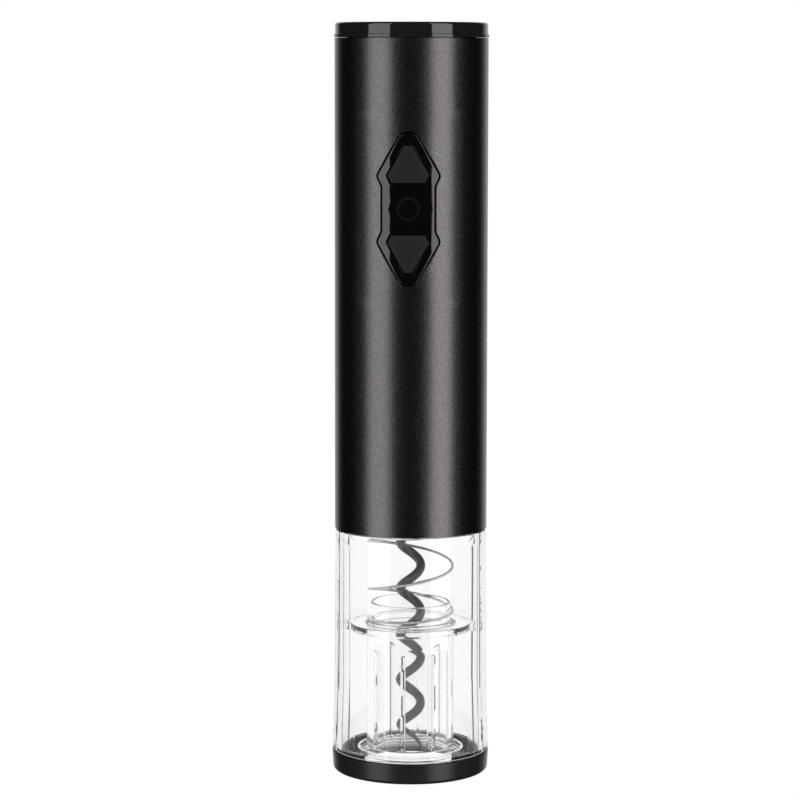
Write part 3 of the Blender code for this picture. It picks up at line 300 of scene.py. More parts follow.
def makeFloor():
    # as white as the backdrop where it is seen; the strips, which reach below it, shine through it
    size = studio["floorSize"] / 2 * mm
    mesh = bpy.data.meshes.new("floor")
    corners = [(-size, -size, 0), (size, -size, 0), (size, size, 0), (-size, size, 0)]
    mesh.from_pydata(corners, [], [(0, 1, 2, 3)])
    floor = bpy.data.objects.new("floor", mesh)
    bpy.context.scene.collection.objects.link(floor)
    floor.visible_glossy = False
    floor.visible_diffuse = False
    floor.visible_shadow = False
    mat = bpy.data.materials.new("white studio floor")
    mat.use_nodes = True
    tree = mat.node_tree
    glow = addNode(tree, "ShaderNodeEmission", {"Color": (1, 1, 1, 1)})
    tree.links.new(glow.outputs[0], tree.nodes["Material Output"].inputs["Surface"])
    mesh.materials.append(mat)


makeWorld()
makeFloor()
print("studio ready")


def grainNode(tree, size, detail=2.0, stretch=(1, 1, 1)):
    # noise on object coordinates, grains about size mm across; stretch scales their number along each axis
    place = addNode(tree, "ShaderNodeTexCoord")
    mapping = addNode(tree, "ShaderNodeMapping", {"Scale": stretch}, {"Vector": (place, "Object")})
    return addNode(tree, "ShaderNodeTexNoise", {"Scale": 1 / (size * mm), "Detail": detail},
                   {"Vector": (mapping, 0)})


def mapRange(tree, source, fromLow, fromHigh, toLow=0.0, toHigh=1.0):
    return addNode(tree, "ShaderNodeMapRange", {"From Min": fromLow, "From Max": fromHigh, "To Min": toLow,
                   "To Max": toHigh}, {"Value": source})


def addBump(tree, shader, height, strength, depth):
    bump = addNode(tree, "ShaderNodeBump", {"Strength": strength, "Distance": depth * mm},
                   {"Height": height})
    tree.links.new(bump.outputs[0], shader.inputs["Normal"])


def shadeBy(tree, shader, value, darkHex, lightHex):
    mix = addNode(tree, "ShaderNodeMix", {"data_type": "RGBA", 6: toLinear(darkHex), 7: toLinear(lightHex)},
                  {0: value})
    tree.links.new(mix.outputs[2], shader.inputs["Base Color"])


def anodisedAluminium():
    # Bead blasted, then anodised black: a satin metal with a fine sparkle.
    # Real blasting pits are 0.1 mm; they are drawn 0.3 mm wide so that they show.
    mat, tree, shader = newMaterial("anodised aluminium", {"Metallic": 1.0, "Roughness": 0.28})
    fine = grainNode(tree, 0.3)
    level = mapRange(tree, (fine, "Fac"), 0.3, 0.7)
    shadeBy(tree, shader, (level, 0), "#3F3D3D", "#656262")
    rough = mapRange(tree, (fine, "Fac"), 0.3, 0.7, 0.25, 0.33)
    tree.links.new(rough.outputs[0], shader.inputs["Roughness"])
    addBump(tree, shader, (fine, "Fac"), 0.35, 0.03)
    return mat


def glossAbs(name, hexCode, spot=None):
    # ABS moulded against a polished tool: sharp reflections with a very faint ripple, 6 mm across.
    # With a spot, the surface has a faint matt ring round it, 2.9 to 3.6 mm away.
    mat, tree, shader = newMaterial(name, {"Base Color": toLinear(hexCode), "Roughness": 0.05, "IOR": 1.53})
    ripple = grainNode(tree, 6.0, 1.0)
    addBump(tree, shader, (ripple, "Fac"), 0.05, 0.04)
    if spot is not None:
        place = addNode(tree, "ShaderNodeTexCoord")
        away = addNode(tree, "ShaderNodeVectorMath", {"operation": "DISTANCE", 1: tuple(spot * mm)},
                       {0: (place, "Object")})
        inner = mapRange(tree, (away, "Value"), 2.8 * mm, 3.0 * mm)
        outer = mapRange(tree, (away, "Value"), 3.5 * mm, 3.7 * mm, 1.0, 0.0)
        ring = addNode(tree, "ShaderNodeMath", {"operation": "MULTIPLY"}, {0: (inner, 0), 1: (outer, 0)})
        shadeBy(tree, shader, (ring, 0), hexCode, "#0E0E0F")
        rough = mapRange(tree, (ring, 0), 0.0, 1.0, 0.05, 0.16)
        tree.links.new(rough.outputs[0], shader.inputs["Roughness"])
    return mat


def mouldedPlastic(name, darkHex, lightHex, roughness, size=0.7, depth=0.02, strength=0.25, sheen=0.5):
    # plastic with the spark-eroded texture of its tool, whose grains are size mm across
    mat, tree, shader = newMaterial(name, {"Roughness": roughness, "IOR": 1.5, "Specular IOR Level": sheen})
    grain = grainNode(tree, size)
    level = mapRange(tree, (grain, "Fac"), 0.32, 0.68)
    shadeBy(tree, shader, (level, 0), darkHex, lightHex)
    addBump(tree, shader, (grain, "Fac"), strength, depth)
    return mat


def clearSan():
    # clear SAN from a polished tool: it bends what is behind it and has a slight flow ripple, 8 mm across
    mat, tree, shader = newMaterial("clear SAN", {"Base Color": (1, 1, 1, 1), "Roughness": 0.0, "IOR": 1.49,
                                    "Transmission Weight": 1.0})
    ripple = grainNode(tree, 8.0, 1.0)
    addBump(tree, shader, (ripple, "Fac"), 0.04, 0.05)
    return mat


def bareMetal(name, darkHex, lightHex, roughness, size=1.4, stretch=(1, 1, 1), strength=0.1):
    # a plain metal; a stretch under 1 draws its grain out along that axis, as turning or drawing leaves it
    mat, tree, shader = newMaterial(name, {"Metallic": 1.0, "Roughness": roughness})
    grain = grainNode(tree, size, 2.0, stretch)
    shadeBy(tree, shader, (grain, "Fac"), darkHex, lightHex)
    addBump(tree, shader, (grain, "Fac"), strength, 0.01)
    return mat


def coatedSteel():
    # steel with a baked non-stick coat: dark grey, soft gloss, slightly uneven over 1 mm
    mat, tree, shader = newMaterial("coated steel", {"Roughness": 0.3, "IOR": 1.5})
    grain = grainNode(tree, 1.1)
    shadeBy(tree, shader, (grain, "Fac"), "#2C2C2E", "#3A3A3C")
    addBump(tree, shader, (grain, "Fac"), 0.15, 0.03)
    return mat


def solderMask():
    # green mask over copper tracks about 1.5 mm apart, which show as lighter lines
    mat, tree, shader = newMaterial("solder mask", {"Roughness": 0.3})
    place = addNode(tree, "ShaderNodeTexCoord")
    mapping = addNode(tree, "ShaderNodeMapping", {"Rotation": (math.radians(90), 0, 0)},
                      {"Vector": (place, "Object")})
    tracks = addNode(tree, "ShaderNodeTexBrick", {"Scale": 160.0, "Mortar Size": 0.03,
                     "Color1": toLinear("#17512F"), "Color2": toLinear("#195634"),
                     "Mortar": toLinear("#2F7A4C")}, {"Vector": (mapping, 0)})
    tree.links.new(tracks.outputs["Color"], shader.inputs["Base Color"])
    return mat


tubeFinish = anodisedAluminium()
glossFinish = glossAbs("gloss black ABS", "#131314")
ringFinish = mouldedPlastic("satin black ABS", "#151515", "#1A1A1A", 0.3, 0.55, 0.01, 0.1, 0.3)
buttonFinish = mouldedPlastic("soft touch coat", "#101011", "#171718", 0.62, 0.4, 0.03, 0.3, 0.2)
clearFinish = clearSan()
wormFinish = coatedSteel()
springFinish = bareMetal("spring steel", "#9A9A9A", "#C8C8C8", 0.22, 1.1)
slotFinish = dict(
    anodised=tubeFinish, gloss_black=glossFinish, satin_black=ringFinish, button_grey=buttonFinish,
    clear_plastic=clearFinish, spring_steel=springFinish, coated_steel=wormFinish,
    plated_steel=bareMetal("zinc plated steel", "#9C9EA0", "#BBBDBF", 0.3, 1.2, (1, 1, 6)),
    black_nylon=mouldedPlastic("glass filled nylon", "#121212", "#1B1B1B", 0.5),
    bronze=bareMetal("sintered bronze", "#8A6438", "#A87E4C", 0.45, 0.5),
    acetal=mouldedPlastic("white acetal", "#D6D3CB", "#E2DFD8", 0.35),
    nickel=bareMetal("nickel plated brass", "#B9B3A4", "#D2CDBF", 0.22, 1.1),
    copper=bareMetal("enamelled copper winding", "#8A4B24", "#B66A38", 0.3, 0.7, (0.3, 0.3, 3)),
    grey_abs=mouldedPlastic("grey ABS", "#4A4A4C", "#565658", 0.45),
    board_green=solderMask(),
    cell_wrap=bareMetal("cell sleeve", "#24262A", "#30333A", 0.3, 16, (1, 1, 0.1), 0.0))
print("materials ready")


tubeLow, tubeHigh = boxSizes("body_tube")
tubeR = tubeHigh[0]
switchZ = (boxSizes("up_button")[1][2] + boxSizes("down_button")[0][2]) / 2

# the switch: outline of the bezel, shared by the tube's window, and the buttons in it
switch = dict(half=9.72, waist=8.1, waistZ=6.9, wideZ=10.06, slope=30.0, noseR=3.6, wideR=2.0, waistR=3.0,
              windowGap=0.4, bezelDeep=1.6, holeGap=0.3, holeDeep=2.4, edge=0.28, proud=0.05)
button = dict(half=6.46, nose=1.15, top=19.55, base=7.94, chamfer=1.2, cornerR=0.45, edge=0.3, proud=0.1,
              crown=0.1, deep=4.1)


def arrowOutline(grow=0.0):
    # two arrowheads nose to nose, as (x, z) about the switch's middle, with every corner rounded
    s = switch
    slope = math.radians(s["slope"])
    peak = s["wideZ"] + s["half"] / math.tan(slope) + grow / math.sin(slope)
    wide, waist = s["half"] + grow, s["waist"] + grow
    right = [(waist, s["waistZ"], s["waistR"]), (wide, s["wideZ"], s["wideR"] + grow / 2)]
    left = [(-x, z, radius) for x, z, radius in reversed(right)]
    upper = right + [(0.0, peak, s["noseR"] + grow)] + left
    return roundCorners(upper + [(-x, -z, radius) for x, z, radius in upper], steps=8, hold=0)


def buttonOutline(grow=0.0):
    # one arrow button pointing up, with a flat nose and chamfered lower corners, about the switch's middle
    b = button
    wide, nose = b["half"] + grow, b["nose"] + grow * 0.6
    shoulder = b["top"] - (b["half"] - b["nose"]) / math.tan(math.radians(switch["slope"]))
    r = b["cornerR"] + grow / 2
    right = [(wide - b["chamfer"], b["base"] - grow, r), (wide, shoulder, r), (nose, b["top"] + grow, r)]
    left = [(-x, z, radius) for x, z, radius in reversed(right)]
    return roundCorners(right + left, steps=6, hold=0)


tube = dict(wall=1.2, edge=0.12, patchHalfX=16.0, patchHalfZ=29.0, around=150, below=40, above=16)


def makeTube():
    # Outer wall: x = R sin t, y = -R cos t, z on a grid, but for a rectangle round the switch.
    # There, loops between the rectangle and the window's outline are laid on the same cylinder.
    halfX, halfZ = tube["patchHalfX"], tube["patchHalfZ"]
    window = arrowOutline(switch["windowGap"])
    corner = math.atan2(halfZ, halfX)
    folded = np.arctan2(np.abs(window[:, 1]), np.abs(window[:, 0]))
    fixed = np.array([0.0, corner, math.pi / 2])
    rest = np.concatenate([np.linspace(0, math.pi / 2, 73), folded])
    rest = rest[np.abs(rest[:, None] - fixed[None]).min(axis=1) > 0.004]
    quarter = distinct(np.concatenate([fixed, distinct(rest, 0.003)]), 1e-9)
    whole = np.concatenate([quarter, math.pi - quarter, math.pi + quarter, fullTurn - quarter])
    angles = distinct(whole % fullTurn, 1e-9)
    rectangle = np.array([(halfX, -halfZ), (halfX, halfZ), (-halfX, halfZ), (-halfX, -halfZ)])
    outer, inner = (polarLoop(outline, np.zeros(2), angles) for outline in (rectangle, window))
    share = np.array([0, 0.2, 0.4, 0.6, 0.78, 0.9, 0.97, 1.0])[:, None, None]
    loops = outer * (1 - share) + inner * share + np.array([0, switchZ])
    patch = wrapFront(loops, tubeR), gridFaces(len(share), len(angles), wrapRows=False)
    edgeX = distinct(outer[np.abs(np.abs(outer[:, 1]) - halfZ) < 1e-6, 0], 1e-5)
    edgeZ = distinct(outer[np.abs(np.abs(outer[:, 0]) - halfX) < 1e-6, 1], 1e-5) + switchZ
    edgeTurn = math.asin(halfX / tubeR)
    turn = np.concatenate([np.arcsin(edgeX / tubeR),
                           np.linspace(edgeTurn, fullTurn - edgeTurn, tube["around"])[1:-1]])
    height = np.concatenate([np.linspace(tubeLow[2], switchZ - halfZ, tube["below"])[:-1], edgeZ,
                             np.linspace(switchZ + halfZ, tubeHigh[2], tube["above"])[1:]])
    wall = np.stack([tubeR * np.sin(turn) + 0 * height[:, None], -tubeR * np.cos(turn) + 0 * height[:, None],
                     height[:, None] + 0 * turn], axis=-1)
    inRows = (height[:-1] > switchZ - halfZ - 1e-4) & (height[1:] < switchZ + halfZ + 1e-4)
    inColumns = np.arange(len(turn)) < len(edgeX) - 1
    wallFaces = gridFaces(len(height), len(turn), wrapRows=False, keep=~(inRows[:, None] & inColumns))
    piece = meshObject("bodyTube", [(wall, wallFaces), patch])
    solid = piece.modifiers.new("wall", "SOLIDIFY")
    solid.thickness = tube["wall"] * mm
    solid.offset = -1
    edge = piece.modifiers.new("edge", "BEVEL")
    edge.width = tube["edge"] * mm
    edge.segments = 2
    edge.limit_method = "ANGLE"
    edge.angle_limit = math.radians(50)
    piece.modifiers.new("even shade", "WEIGHTED_NORMAL")
    return finish(piece, "housing", "anodised", tubeFinish, "body_tube")


def makeBezel():
    # Each half is a closed profile carried round its button opening; the two halves meet at the waist.
    # A point of the profile is (share of the way in from the outline, inset in mm, depth in mm).
    s = switch
    outline = arrowOutline()
    upper = outline[outline[:, 1] > 0]
    half = np.concatenate([[[s["waist"], 0.0]], upper, [[-s["waist"], 0.0]]])
    hole = buttonOutline(s["holeGap"])
    centre = np.array([0.0, (button["base"] + button["top"]) / 2 - 1.0])
    angles = outlineAngles(centre, 300, half, hole)
    outer, inner = polarLoop(half, centre, angles), polarLoop(hole, centre, angles)
    onLine = np.abs(outer[:, 1]) < 1e-6
    corner = onLine & (np.abs(outer[:, 0]) > s["waist"] - 1e-4)
    middle = onLine & ~corner
    e = s["edge"]
    limit = s["waist"] - 2.5 * e
    outer[middle, 0] = np.clip(outer[middle, 0], -limit, limit)
    way = inner - outer
    way /= np.linalg.norm(way, axis=1)[:, None]
    inward = np.where(corner[:, None], np.stack([-np.sign(outer[:, 0]), 0 * angles], axis=-1), way)
    steps = [(0, 0, s["bezelDeep"]), (0, 0, e), (0, 0.08 * e, 0.6 * e), (0, 0.3 * e, 0.3 * e),
             (0, 0.6 * e, 0.08 * e), (0, e, 0), (0, 2 * e, 0), (0.3, 0, 0), (0.5, 0, 0), (0.7, 0, 0),
             (1, 0.3, 0), (1, 0.12, 0), (1, 0.04, 0.04), (1, 0, 0.12), (1, 0, s["holeDeep"])]
    flat, deep = [], []
    for share, inset, depth in steps:
        if share == 0:
            flat.append(outer + inward * np.where(middle, 0.0, inset)[:, None])
            deep.append(np.where(middle & (depth < s["bezelDeep"]), 0.0, depth))
        else:
            flat.append(outer * (1 - share) + inner * share - way * inset)
            deep.append(depth + 0 * angles)
    flat, deep = np.array(flat), np.array(deep)
    keep = np.ones((len(steps), len(angles)), bool)
    outerRows = [share == 0 for share, _, _ in steps]
    edgeRows = np.array(outerRows) & np.roll(outerRows, -1)
    keep[edgeRows] = ~(onLine & np.roll(onLine, -1))
    parts = []
    for side in (1, -1):
        front = wrapFront(flat * np.array([1, side]) + np.array([0, switchZ]), tubeR + s["proud"])
        front[..., 1] += deep
        parts.append((front, gridFaces(len(steps), len(angles), keep=keep)))
    piece = meshObject("switchBezel", parts)
    spot = np.array([0.0, -(tubeR + s["proud"]), switchZ])
    gloss = glossAbs("gloss black ABS, switch", "#050506", spot)
    return finish(piece, "housing", "gloss_black", gloss, "switch_bezel")


def makeButton(name, side, body, node):
    # loops round a middle point: over the crowned face, round the edge, back along the sides and shut behind
    b = button
    outline = buttonOutline()
    centre = np.array([0.0, (b["base"] + b["top"]) / 2 - 1.5])
    angles = outlineAngles(centre, 160, outline)
    edge = polarLoop(outline, centre, angles)
    e = b["edge"]
    rows = [(share, 0.0, -b["crown"] * (1 - share ** 2)) for share in (0.0, 0.25, 0.5, 0.7, 0.85)]
    rows += [(1.0, 2 * e, 0.0), (1.0, e, 0.0), (1.0, 0.55 * e, 0.08 * e), (1.0, 0.25 * e, 0.3 * e),
             (1.0, 0.06 * e, 0.65 * e), (1.0, 0.0, e), (1.0, 0.0, b["deep"]), (0.0, 0.0, b["deep"])]
    away = edge - centre
    length = np.linalg.norm(away, axis=1)[:, None]
    flat = np.array([centre + away / length * (length * share - inset) for share, inset, _ in rows])
    front = wrapFront(flat * np.array([1, side]) + np.array([0, switchZ]), tubeR + b["proud"])
    front[..., 1] += np.array([depth for _, _, depth in rows])[:, None]
    front[-2:, :, 1] = -tubeR + b["deep"]
    piece = meshObject(name, [(front, gridFaces(len(rows), len(angles), wrapRows=False))])
    return finish(piece, body, "button_grey", buttonFinish, node)


cover = dict(r=23.9, fillet=0.9, lipR=24.25, lip=0.9, lipDrop=0.2, ceiling=1.5, skirtR=19.9, skirtWall=1.2,
             skirtDrop=6.4, threadDown=5.6, threadDeep=0.7, threadThick=0.8, lead=5.0, starts=2,
             skirtRows=52)


def makeCover():
    # (radius, height) round Z; the threads stand out from the skirt by depth x nearness to the climbing line
    c = cover
    low, high = (corner[2] for corner in boxSizes("battery_cover"))
    foot = low + c["skirtDrop"]
    under = foot - c["lipDrop"]
    inner = c["skirtR"] - c["skirtWall"]
    rim = roundCorners([(0.0, high, 0), (c["r"], high, c["fillet"]), (c["r"], foot + c["lip"], 0.05),
                        (c["lipR"], foot + c["lip"], 0.12), (c["lipR"], under, 0.12),
                        (c["skirtR"], under, 0.15), (c["skirtR"], low + 0.5, 0)], closed=False, steps=6,
                       hold=0.15)
    ladder = np.linspace(under - 0.4, low + 0.5, c["skirtRows"])
    skirt = np.stack([c["skirtR"] + 0 * ladder, ladder], axis=-1)
    inside = roundCorners([(c["skirtR"], low + 0.5, 0), (c["skirtR"], low, 0.2), (inner, low, 0.2),
                           (inner, foot + c["ceiling"], 0.3), (0.0, foot + c["ceiling"], 0)], closed=False,
                          steps=4, hold=0.15)
    profile = np.concatenate([rim[:-1], skirt, inside[1:]])
    angles = evenAngles(roundSides)
    reach = np.zeros((len(profile), len(angles)))
    onSkirt = slice(len(rim) - 1, len(rim) - 1 + len(ladder))
    for start in range(c["starts"]):
        turn = (angles - fullTurn * start / c["starts"]) % fullTurn
        line = foot - c["threadDown"] + c["lead"] * turn / fullTurn
        ends = np.clip(np.minimum(turn, fullTurn / 4 - turn) * 8, 0, 1)
        near = np.clip((c["threadThick"] / 2 + 0.12 - np.abs(ladder[:, None] - line)) / 0.24, 0, 1)
        reach[onSkirt] += c["threadDeep"] * near * ends
    piece = meshObject("batteryCover", [carryAround(profile, angles, reach, closed=False)])
    return finish(piece, "battery_cover", "gloss_black", glossFinish, "battery_cover")


ring = dict(footR=24.5, topR=24.9, height=6.6, footFillet=1.3, topFillet=0.4, wall=1.2, ledge=1.2,
            ledgeWidth=1.5, tabs=(39, 141, 219, 321), tabHalf=10.0, tabInner=20.0, tabOuter=21.5, tabTop=7.4,
            footLap=0.5, lift=0.02)


def makeRing():
    # a hoop with a ledge, (radius, height) round Z, and four tabs whose feet lie beside the ledge
    r = ring
    inner = r["topR"] - r["wall"]
    ledge = inner - r["ledgeWidth"]
    profile = roundCorners([(r["footR"], 0.0, r["footFillet"]), (r["topR"], r["height"], r["topFillet"]),
                            (inner, r["height"], 0.3), (inner, r["ledge"], 0.2), (ledge, r["ledge"], 0.15),
                            (ledge, 0.0, 0.15)], steps=6, hold=0.2)
    parts = [carryAround(profile, evenAngles(roundSides))]
    root, footTop = ledge + r["footLap"], r["ledge"] - 0.1
    for middle in r["tabs"]:
        section = roundCorners([(root, r["lift"], 0.1), (root, footTop, 0.1), (r["tabOuter"], footTop, 0.3),
                                (r["tabOuter"], r["tabTop"], 0.3), (r["tabInner"], r["tabTop"], 0.3),
                                (r["tabInner"], r["lift"], 0.15)], steps=3, hold=0.15)
        half = math.radians(r["tabHalf"])
        across = np.concatenate([[-half, -half], np.linspace(-half, half, 13), [half, half]])
        turn = math.radians(middle) + across
        shrink = np.concatenate([[0.0, 0.93], np.ones(13), [0.93, 0.0]])[:, None, None]
        heart = np.array([(r["tabInner"] + r["tabOuter"]) / 2, footTop / 2])
        shape = heart + (section[None] - heart) * shrink
        points = np.stack([shape[..., 0] * np.cos(turn)[:, None], shape[..., 0] * np.sin(turn)[:, None],
                           shape[..., 1]], axis=-1)
        parts.append((points, gridFaces(len(turn), len(section), wrapRows=False)))
    piece = meshObject("baseRing", parts)
    return finish(piece, "housing", "satin_black", ringFinish, "base_ring")


shell = dict(floor=2.0, shelf=6.9, footR=24.8, kneeR=24.15, kneeUp=22.0, topR=23.75, wall=2.6, neckR=15.8,
             neckWall=1.1, neckHeight=5.9, spigotWall=0.95, bevel=3.0, gap=0.3, ribTurn=14.5, ribThick=0.9,
             ribR=19.4, ribTop=3.5, neckSteps=5, stepDeep=0.35, slotGrow=0.3)


def makeShell():
    # (radius, height) round Z; four ribs reach inwards from the wall; the floor has a slot for each tab
    s = shell
    low, high = (corner[2] for corner in boxSizes("clear_shell"))
    shoulder, knee = tubeLow[2] - s["gap"], s["shelf"] + s["kneeUp"]
    spigot = tubeR - tube["wall"] - s["gap"]
    inSpigot = spigot - s["spigotWall"]
    base = ring["topR"] - ring["wall"] - s["gap"]
    floor, neckTop = low + s["floor"], low + s["neckHeight"]
    neckOut = s["neckR"] + s["neckWall"]
    outside = roundCorners([(base, low, 0.3), (base, s["shelf"], 0.15), (s["footR"], s["shelf"], 0.35),
                            (s["kneeR"], knee, 60.0), (s["topR"], shoulder, 0.3), (spigot, shoulder, 0.2),
                            (spigot, high, 0.3), (inSpigot, high, 0.2),
                            (inSpigot, shoulder - s["bevel"], 0)],
                           closed=False, steps=4, hold=0.2)
    wallLow = np.array([s["footR"] - s["wall"], floor + 0.5])
    down = np.linspace(shoulder - s["bevel"], wallLow[1], 30)[1:]
    inside = np.stack([np.interp(down, [wallLow[1], knee, shoulder - s["bevel"]],
                                 [wallLow[0], s["kneeR"] - s["wall"], inSpigot]), down], axis=-1)
    slotIn, slotOut = ring["tabInner"] - s["slotGrow"], ring["tabOuter"] + s["slotGrow"] - 0.2
    floorTop = np.array([(wallLow[0] - 0.12, floor + 0.12), (slotOut, floor), (slotIn, floor),
                         (neckOut + 0.5, floor), (neckOut + 0.15, floor + 0.15), (neckOut, floor + 0.5),
                         (neckOut, neckTop - 0.2), (neckOut - 0.2, neckTop)])
    rungs = []
    rise = (neckTop - low - 0.6) / s["neckSteps"]
    for i in range(s["neckSteps"]):
        top = neckTop - 0.3 - rise * i
        rungs += [(s["neckR"], top), (s["neckR"], top - 0.35 * rise),
                  (s["neckR"] + s["stepDeep"], top - 0.5 * rise),
                  (s["neckR"] + s["stepDeep"], top - 0.85 * rise)]
    neck = np.array([(s["neckR"] + 0.2, neckTop)] + rungs
                    + [(s["neckR"], low + 0.2), (s["neckR"] + 0.2, low)])
    under = np.array([(slotIn, low), (slotOut, low)])
    profile = np.concatenate([outside, inside, floorTop, neck, under])
    ribEdge = np.array([-1.9, -1.15, -1.0, 0.0, 1.0, 1.15, 1.9]) * s["ribThick"] / 2 / wallLow[0]
    ribTurns = np.radians([-s["ribTurn"], s["ribTurn"]])
    ribs = np.concatenate([ribTurns, math.pi + ribTurns])
    slotHalf = math.radians(ring["tabHalf"]) + s["slotGrow"] / ring["tabInner"]
    tabs = np.radians(ring["tabs"])
    slotEdges = (tabs[:, None] + slotHalf * np.array([-1, 1])).ravel()
    ribEdges = (ribs[:, None] + ribEdge).ravel()
    angles = anglesWith(roundSides, np.concatenate([ribEdges, slotEdges]))
    apart = np.abs((angles[:, None] - ribs + math.pi) % fullTurn - math.pi).min(axis=1) * wallLow[0]
    edge = np.interp(apart, np.array([1.0, 1.15, 1.9]) * s["ribThick"] / 2, [1.0, 0.12, 0.0])
    height = profile[:, 1]
    rows = np.arange(len(profile))
    onWall = (rows >= len(outside)) & (rows < len(outside) + len(inside))
    fade = np.clip((shoulder - s["ribTop"] - height) / 1.0, 0, 1) * onWall
    reach = (s["ribR"] - profile[:, :1]) * fade[:, None] * edge
    slotRow, underRow = len(outside) + len(inside) + 1, len(profile) - 2
    slotAway = np.abs((angles[:, None] - tabs + math.pi) % fullTurn - math.pi).min(axis=1)
    inSlot = (slotAway < slotHalf + 1e-6) & (np.roll(slotAway, -1) < slotHalf + 1e-6)
    keep = np.ones((len(profile), len(angles)), bool)
    keep[slotRow] = ~inSlot
    keep[underRow] = ~inSlot
    points, faces = carryAround(profile, angles, reach, keep=keep)
    count = len(angles)
    j = np.nonzero(inSlot)[0]
    over = (j + 1) % count
    walls = []
    for topRow, bottomRow in ((slotRow, underRow + 1), (slotRow + 1, underRow)):
        walls.append(np.stack([topRow * count + j, topRow * count + over, bottomRow * count + over,
                               bottomRow * count + j], axis=-1))
    starts, ends = j[~inSlot[j - 1]], over[~inSlot[over]]
    k = np.concatenate([starts, ends])
    walls.append(np.stack([slotRow * count + k, (slotRow + 1) * count + k, underRow * count + k,
                           (underRow + 1) * count + k], axis=-1))
    piece = meshObject("lowerShell", [(points, faces + np.concatenate(walls).tolist())])
    return finish(piece, "housing", "clear_plastic", clearFinish, "clear_shell")


sleeve = dict(r=13.9, bore=12.0, upperBore=11.75, finLength=32.0, fins=8, finThick=0.8, finTip=9.5,
              finTurn=-8.5, flangeUp=37.7, flangeR=19.0, flangeThick=2.2, lipR=14.3, lip=0.6, collarR=12.6,
              lugR=21.1, lugTurn=11.0)


def makeSleeve():
    # (radius, height) round Z; fins reach inwards from the bore and two lugs outwards from the flange
    s = sleeve
    low, high = (corner[2] for corner in boxSizes("cork_sleeve"))
    flange = low + s["flangeUp"]
    flangeTop = flange + s["flangeThick"]
    lipZ = flangeTop + s["lip"]
    step = low + s["finLength"]
    outside = roundCorners([(s["bore"], low, 0.3), (s["r"], low, 0.4), (s["r"], flange, 0.5)], closed=False,
                           steps=4, hold=0.2)
    flangeSide = roundCorners([(s["r"], flange, 0), (s["flangeR"], flange, 0.25),
                               (s["flangeR"], flangeTop, 0.25), (s["lipR"], flangeTop, 0.2),
                               (s["lipR"], lipZ, 0.2), (s["collarR"], lipZ, 0.2),
                               (s["collarR"], high, 0.35), (s["upperBore"], high, 0.35),
                               (s["upperBore"], step + 0.8, 0.2), (s["bore"], step - 0.6, 0.2)],
                              closed=False, steps=4, hold=0.2)
    down = np.concatenate([step - np.array([0.7, 0.9, 1.3, 1.7]), np.linspace(step - 3.0, low + 2.0, 11),
                           low + np.array([1.2, 0.8, 0.4])])
    bore = np.stack([s["bore"] + 0 * down, down], axis=-1)
    profile = np.concatenate([outside[:-1], flangeSide, bore])
    finEdge = np.array([-1.8, -1.12, -1.0, 0.0, 1.0, 1.12, 1.8]) * s["finThick"] / 2 / s["bore"]
    fins = math.radians(s["finTurn"]) + evenAngles(s["fins"])
    lugs = np.array([0.0, math.pi])
    lugHalf = math.radians(s["lugTurn"])
    lugEdge = np.array([-1.08, -1.0, -0.97, 0.97, 1.0, 1.08]) * lugHalf
    edges = np.concatenate([(fins[:, None] + finEdge).ravel(), (lugs[:, None] + lugEdge).ravel()])
    angles = anglesWith(192, edges)
    apart = np.abs((angles[:, None] - fins + math.pi) % fullTurn - math.pi).min(axis=1) * s["bore"]
    finShape = np.interp(apart, np.array([1.0, 1.12, 1.8]) * s["finThick"] / 2, [1.0, 0.12, 0.0])
    height = profile[:, 1]
    onBore = np.arange(len(profile)) >= len(profile) - len(bore)
    fade = np.clip((step - 1.0 - height) / 0.6, 0, 1) * np.clip((height - low - 0.4) / 0.4, 0, 1) * onBore
    reach = -(s["bore"] - s["finTip"]) * fade[:, None] * finShape
    fromLug = np.abs((angles[:, None] - lugs + math.pi) % fullTurn - math.pi).min(axis=1) / lugHalf
    lugShape = np.interp(fromLug, [0.97, 1.0, 1.08], [1.0, 0.85, 0.0])
    onRim = (profile[:, 0] > s["flangeR"] - 0.27) & (height > flange - 0.01) & (height < flangeTop + 0.01)
    reach += (s["lugR"] - s["flangeR"]) * onRim[:, None] * lugShape
    piece = meshObject("corkSleeve", [carryAround(profile, angles, reach)])
    return finish(piece, "cork_sleeve", "clear_plastic", clearFinish, "cork_sleeve")


spring = dict(wire=0.9, r=13.35, pitch=15.4, close=1.7 * math.pi, start=math.pi, travel=45.0, steps=56)


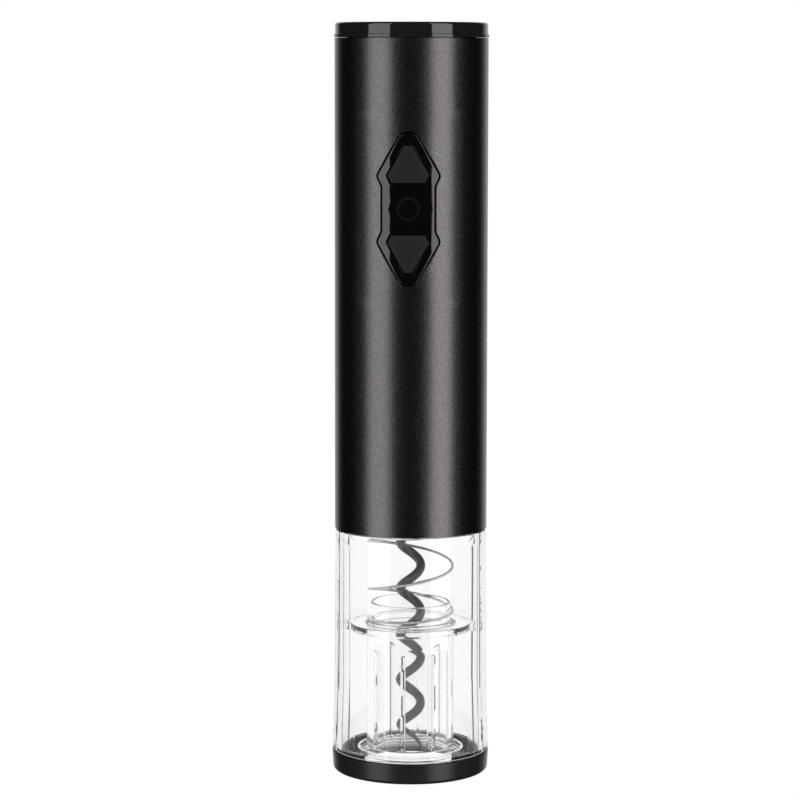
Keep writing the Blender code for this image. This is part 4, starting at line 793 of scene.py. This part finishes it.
def makeSpring():
    # a helix whose slope grows from nothing over each closing end: height is the slope summed over the turn
    s = spring
    low, high = (corner[2] for corner in boxSizes("coil_spring"))
    first, last = low + s["wire"] / 2, high - s["wire"] / 2
    slope = s["pitch"] / fullTurn
    total = (last - first) / slope + s["close"]
    turn = np.linspace(0, total, round(total / fullTurn * s["steps"]))
    rest = total - turn
    height = first + slope * (turn - s["close"] / 2)
    height = np.where(turn < s["close"], first + slope * turn ** 2 / (2 * s["close"]), height)
    height = np.where(rest < s["close"], last - slope * rest ** 2 / (2 * s["close"]), height)
    angle = s["start"] + turn
    outward = np.stack([np.cos(angle), np.sin(angle), 0 * angle], axis=-1)
    path = s["r"] * outward + height[:, None] * np.array([0, 0, 1])
    radii = np.full(len(turn), s["wire"] / 2)
    piece = meshObject("returnSpring", [carryAlong(path, radii, outward, 12)])
    finish(piece, "housing", "spring_steel", springFinish, "coil_spring")
    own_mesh(piece)
    return piece


worm = dict(wire=2.9, r=3.25, pitch=14.7, tipUp=4.9, tipTurn=-0.7, taper=0.8, blend=0.5, sunk=2.0,
            intoHub=4.0, gap=0.3)


def makeWorm():
    # a right-handed coil, r (cos a, sin a) and pitch x turns; it tapers to the point and ends on the axis
    w = worm
    high = boxSizes("worm")[1][2]
    hub = high + w["gap"] - w["intoHub"]
    tip = w["tipUp"]
    shank = hub - w["sunk"]
    turns = (shank - tip) / w["pitch"]
    turn = np.linspace(0, turns, round(turns * 56))
    left = np.clip((turns - turn) / w["blend"], 0, 1)
    radius = w["r"] * left * left * (3 - 2 * left)
    angle = w["tipTurn"] + turn * fullTurn
    outward = np.stack([np.cos(angle), np.sin(angle), 0 * angle], axis=-1)
    path = radius[:, None] * outward + (tip + w["pitch"] * turn)[:, None] * np.array([0, 0, 1])
    radii = w["wire"] / 2 * np.maximum(0.06, np.minimum(1, turn / w["taper"]) ** 0.7)
    straight = np.linspace(shank, high, 8)[1:]
    path = np.concatenate([path, np.stack([0 * straight, 0 * straight, straight], axis=-1)])
    radii = np.concatenate([radii, np.full(7, w["wire"] / 2)])
    outward = np.concatenate([outward, np.repeat(outward[-1:], 7, 0)])
    piece = meshObject("wormScrew", [carryAlong(path, radii, outward, 20)])
    return finish(piece, "worm", "coated_steel", wormFinish, "worm")


makeTube()
makeBezel()
makeButton("upButtonCap", 1, "up_button", "up_button")
makeButton("downButtonCap", -1, "down_button", "down_button")
makeCover()
makeRing()
makeShell()
makeSleeve()
makeSpring()
makeWorm()
print("pieces ready")


for part in frame["record"]["subparts"]:
    for holder in frame["nodes"][part["node"]].material_slots:
        holder.material = slotFinish[part["material_slot"]]
print("inner pieces finished")
